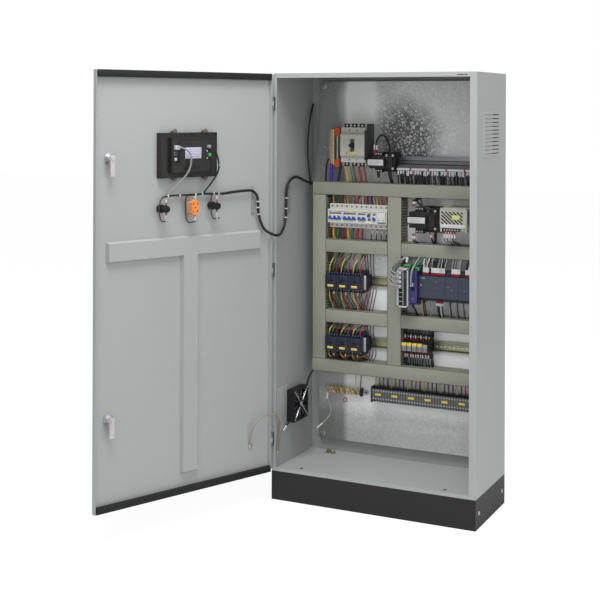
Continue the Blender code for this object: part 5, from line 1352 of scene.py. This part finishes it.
# ---------------------------------------------------------------- switches on the door
# Black contact blocks sit behind two push buttons, and an orange block with a pale grey base sits behind the
# rotary switch. Red ferrules with white sleeves enter above and below each.

amber_block = coat("orange contact block", "e8883a", 0.4, tone=0.05, patch=0.01)
pale_base = coat("pale grey switch base", "b3a9a8", 0.4, tone=0.05, patch=0.01)
cap_green = coat("green push cap", "2f9a55", 0.35, tone=0.05, patch=0.01)
cap_red = coat("red push cap", "c0352c", 0.35, tone=0.05, patch=0.01)
dress(soot, "contact_block_left", "contact_block_right", "rotary_knob")
dress(amber_block, "rotary_switch")
dress(cap_green, "button_left")
dress(cap_red, "button_right")
z = 0.97876
blocks = open_piece("contact_details", void)
for x in (-0.0966, 0.0966):
    ring((x, -0.024, z), 0.0118, 0.001, 0)
    stud(x, z, 0.0035, 0.0046, 0.008, 0, 24)
    for side_step in (-1, 1):
        drum((x, -0.004, z + side_step * 0.0085), (x, -0.004, z + side_step * 0.0118), 0.004, 0, 10)
close_piece(blocks, "door", 0.0003, on_door=True)
rotary = open_piece("rotary_details", pale_base, void, yellow)
block((-0.0236, -0.0368, z - 0.018), (0.0036, -0.014, z + 0.018), 0)
for x, height in ((-0.0175, 0.011), (-0.01, 0.0), (-0.0025, -0.011), (-0.0175, -0.011), (-0.0025, 0.011)):
    stud(x, z + height, 0.0008, 0.0017, 0.0021, 1, 12)
for end in (-1, 1):
    block((-0.0165, -0.012, z + end * 0.0225 - 0.0016), (-0.0035, -0.0015, z + end * 0.0225 + 0.0016), 2)
close_piece(rotary, "door", 0.0004, on_door=True)
runs = []
depth = -0.004
for x, top, foot in ((0.0956, 0.9955, 0.9628), (-0.0132, 1.0021, 0.9537), (-0.097, 0.9969, 0.963)):
    for height, end in ((top, 1), (foot, -1)):
        runs += [
            (red_mark, 0.0027, [(x, depth, height - end * 0.006), (x, depth, height + end * 0.003)]),
            (sleeve, 0.0026, [(x, depth, height + end * 0.003), (x + 0.001, depth, height + end * 0.013)])]
strands("door_ferrules", runs, body="door", on_door=True)


# ---------------------------------------------------------------- wires on the door
# Grey data and black power cables drop from the operator panel into a bundle of black wires that runs along the
# switches, tied with white nylon every 50 mm, and each switch is fed by a looped wire.

wire_slate = sheath("dark grey PVC insulation", "343636")
runs = [
    (wire_grey, 0.0026, [
        (0.0658, 0.006, 1.1669), (0.0509, 0.0075, 1.1666), (0.0322, 0.008, 1.1601), (0.0133, 0.008, 1.1475),
        (0.0094, 0.0075, 1.1259),
        (0.0131, 0.007, 1.1015), (0.028, 0.004, 1.0775), (0.0467, -0.004, 1.0568), (0.0615, -0.016, 1.0361),
        (0.0707, -0.025, 1.019)]),
    (wire_black, 0.0026, [
        (-0.064, 0.004, 1.1655), (-0.072, 0.008, 1.163), (-0.081, 0.007, 1.1548), (-0.0927, 0.006, 1.1327),
        (-0.0987, 0.006, 1.1075),
        (-0.0949, 0.005, 1.0857), (-0.0832, -0.002, 1.0612), (-0.0677, -0.014, 1.0369),
        (-0.0588, -0.024, 1.019)]),
    (sleeve, 0.003, [(-0.0987, 0.006, 1.1095), (-0.0986, 0.006, 1.105)]),
]
bundle = [(0.098, 1.0085), (0.0936, 1.0128), (0.0752, 1.0156), (0.0491, 1.0166), (-0.0076, 1.0153),
    (-0.046, 1.0164), (-0.0849, 1.0168), (-0.115, 1.016), (-0.139, 1.0148)]
for step, start in enumerate((0, 0, 2, 4, 6)):
    turn = math.tau * step / 5
    runs.append((wire_black, 0.0019, [
        (x, -0.027 + 0.002 * math.cos(turn), height + 0.002 * math.sin(turn)) for x, height in bundle[start:]]))
for x, height in ((0.074, 1.0156), (0.03, 1.0162), (-0.03, 1.0158), (-0.056, 1.0166), (-0.101, 1.017),
        (-0.12, 1.016)):
    runs.append((sleeve, 0.0049, [(x + 0.002, -0.027, height), (x - 0.002, -0.027, height)]))
for points in (
    [(0.072, 1.016), (0.093, 1.015), (0.1075, 1.004), (0.1095, 0.976), (0.1095, 0.95), (0.104, 0.939),
     (0.0842, 0.9398)],
    [(-0.008, 1.0155), (0.005, 1.0145), (0.0108, 1.008), (0.011, 0.976), (0.0112, 0.943), (0.006, 0.932),
     (-0.0097, 0.9312), (-0.0212, 0.9351)],
    [(-0.1, 1.017), (-0.09, 1.014), (-0.088, 1.0), (-0.0876, 0.97), (-0.0885, 0.946), (-0.095, 0.937),
     (-0.106, 0.9375), (-0.1146, 0.9407)],
):
    last = len(points) - 1
    runs.append((wire_slate, 0.0021,
        [(x, -0.0262 + 0.012 * step / last, height) for step, (x, height) in enumerate(points)]))
for x in (0.089, -0.015, -0.104):
    runs.append((sleeve, 0.0022, [(x, -0.014, 0.9375), (x - 0.0005, -0.009, 0.9485)]))
strands("door_wires", runs, body="door", on_door=True)


# ---------------------------------------------------------------- door harness and earth cable
# The door's wires cross to the body in a black spiral-wrapped loop, tied where it turns, and end in the top duct.
# A braided earth lead in a grey-green sheath crosses below.

wrap_black = sheath("black spiral wrap", "0d0e0f", 0.5)
earth_green = sheath("grey-beige earth sheath", "91907f", 0.45)
crimp = coat("bright crimp", "c6c8c4", 0.3, 0.6, tone=0.05, patch=0.01)


def from_edge(offset, base):
    """A point given by its offset from the body's left front edge at a base height."""
    return Vector((offset[0] - 0.349, offset[1] - 0.02, offset[2] + base))


def rounded_route(offsets, base, spacing=0.0015):
    """Close points along the smooth curve through a route of offsets from the body's left front edge."""
    route = [from_edge(offset, base) for offset in offsets]
    ends = [2 * route[0] - route[1]] + route + [2 * route[-1] - route[-2]]
    found = []
    for a, b, c, d in zip(ends, ends[1:], ends[2:], ends[3:]):
        steps = max(1, round((c - b).length / spacing))
        for i in range(steps):
            t = i / steps
            bend, twist = 2 * a - 5 * b + 4 * c - d, 3 * b - a - 3 * c + d
            found.append(0.5 * (2 * b + (c - a) * t + bend * t * t + twist * t ** 3))
    return found + [route[-1]]


def wound(line, radius, pitch):
    """A helix around a line of close points."""
    found, run, across = [], 0.0, Vector((0, 0, 1))
    for before, here in zip(line, line[1:]):
        along = (here - before).normalized()
        across = (across - along * across.dot(along)).normalized()
        angle = math.tau * run / pitch
        found.append(here + radius * (across * math.cos(angle) + along.cross(across) * math.sin(angle)))
        run += (here - before).length
    return found


def crossing(name, node, runs):
    """A piece made of strands that stands for a cable node and bends from the door to the cabinet."""
    made = strands(name, runs, body=None)
    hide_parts(node)
    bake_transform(made)


harness_offsets = [
    (-0.0715, -0.207, -0.0205), (-0.0515, -0.156, -0.0165), (-0.0296, -0.1076, -0.0145),
    (-0.0225, -0.0906, -0.0195),
    (-0.0172, -0.0781, -0.033), (-0.0153, -0.0735, -0.0515), (-0.015, -0.073, -0.071),
    (-0.014, -0.0715, -0.093),
    (-0.0095, -0.0625, -0.123), (-0.001, -0.049, -0.147), (0.0145, -0.0245, -0.162), (0.02, 0.0, -0.167),
    (0.0155, 0.0326, -0.162), (0.012, 0.0601, -0.143), (0.011, 0.0743, -0.115), (0.011, 0.0779, -0.085),
    (0.011, 0.0789, -0.05), (0.011, 0.0804, -0.023), (0.0112, 0.0926, -0.002), (0.012, 0.1201, 0.014),
    (0.0135, 0.1517, 0.017), (0.0175, 0.1903, 0.006), (0.0255, 0.2199, -0.004), (0.037, 0.2392, -0.0065),
    (0.053, 0.2484, -0.0065), (0.069, 0.2504, -0.0065),
]
harness_base = 1.03504
line = rounded_route(harness_offsets, harness_base)
wrap_radius = 0.0045
runs = [
    (wrap_black, wrap_radius, line[::5] + line[-1:]),
    (wrap_black, 0.001, wound(line, wrap_radius, pitch=0.0085))]
for anchor in (5, 6, 7, 14, 15, 16):
    place = from_edge(harness_offsets[anchor], harness_base)
    nearest = min(range(len(line)), key=lambda i: (line[i] - place).length)
    runs.append((sleeve, 0.0062, [line[nearest - 1], line[nearest + 1]]))
crossing("door_harness_wrapped", "door_harness", runs)

earth_offsets = [
    (-0.0337, -0.0917, 0.094), (-0.032, -0.0925, 0.107), (-0.028, -0.094, 0.128), (-0.023, -0.094, 0.148),
    (-0.016, -0.091, 0.166), (-0.007, -0.082, 0.183), (0.0025, -0.063, 0.193), (0.0095, -0.036, 0.193),
    (0.0145, -0.015, 0.1875), (0.0178, 0.0031, 0.179), (0.016, 0.0214, 0.165), (0.012, 0.0336, 0.145),
    (0.0085, 0.0366, 0.121), (0.0065, 0.0336, 0.095), (0.005, 0.0316, 0.07), (0.0045, 0.0305, 0.047),
]
line = rounded_route(earth_offsets, 0.094)
runs = [
    (earth_green, 0.0026, line[::4] + line[-1:]), (crimp, 0.0034, line[:7]), (crimp, 0.0034, line[-7:]),
    (earth_green, 0.0005, wound(line, 0.0025, pitch=0.006))]
crossing("earth_cable_sheathed", "earth_cable", runs)


# ---------------------------------------------------------------- door latch slot
# The door is set level by a small screw in the top flange: its short slot is a near-black strip of painted
# shade under the flange's edge, with the screw's head near the right end.

latch = open_piece("top_flange_slot", void, zinc)
block((0.286, -0.0203, 1.39), (0.318, -0.0196, 1.3925), 0)
stud(0.308, 1.3912, -0.0203, -0.0206, 0.0022, 1, 10)
close_piece(latch, "cabinet", 0)
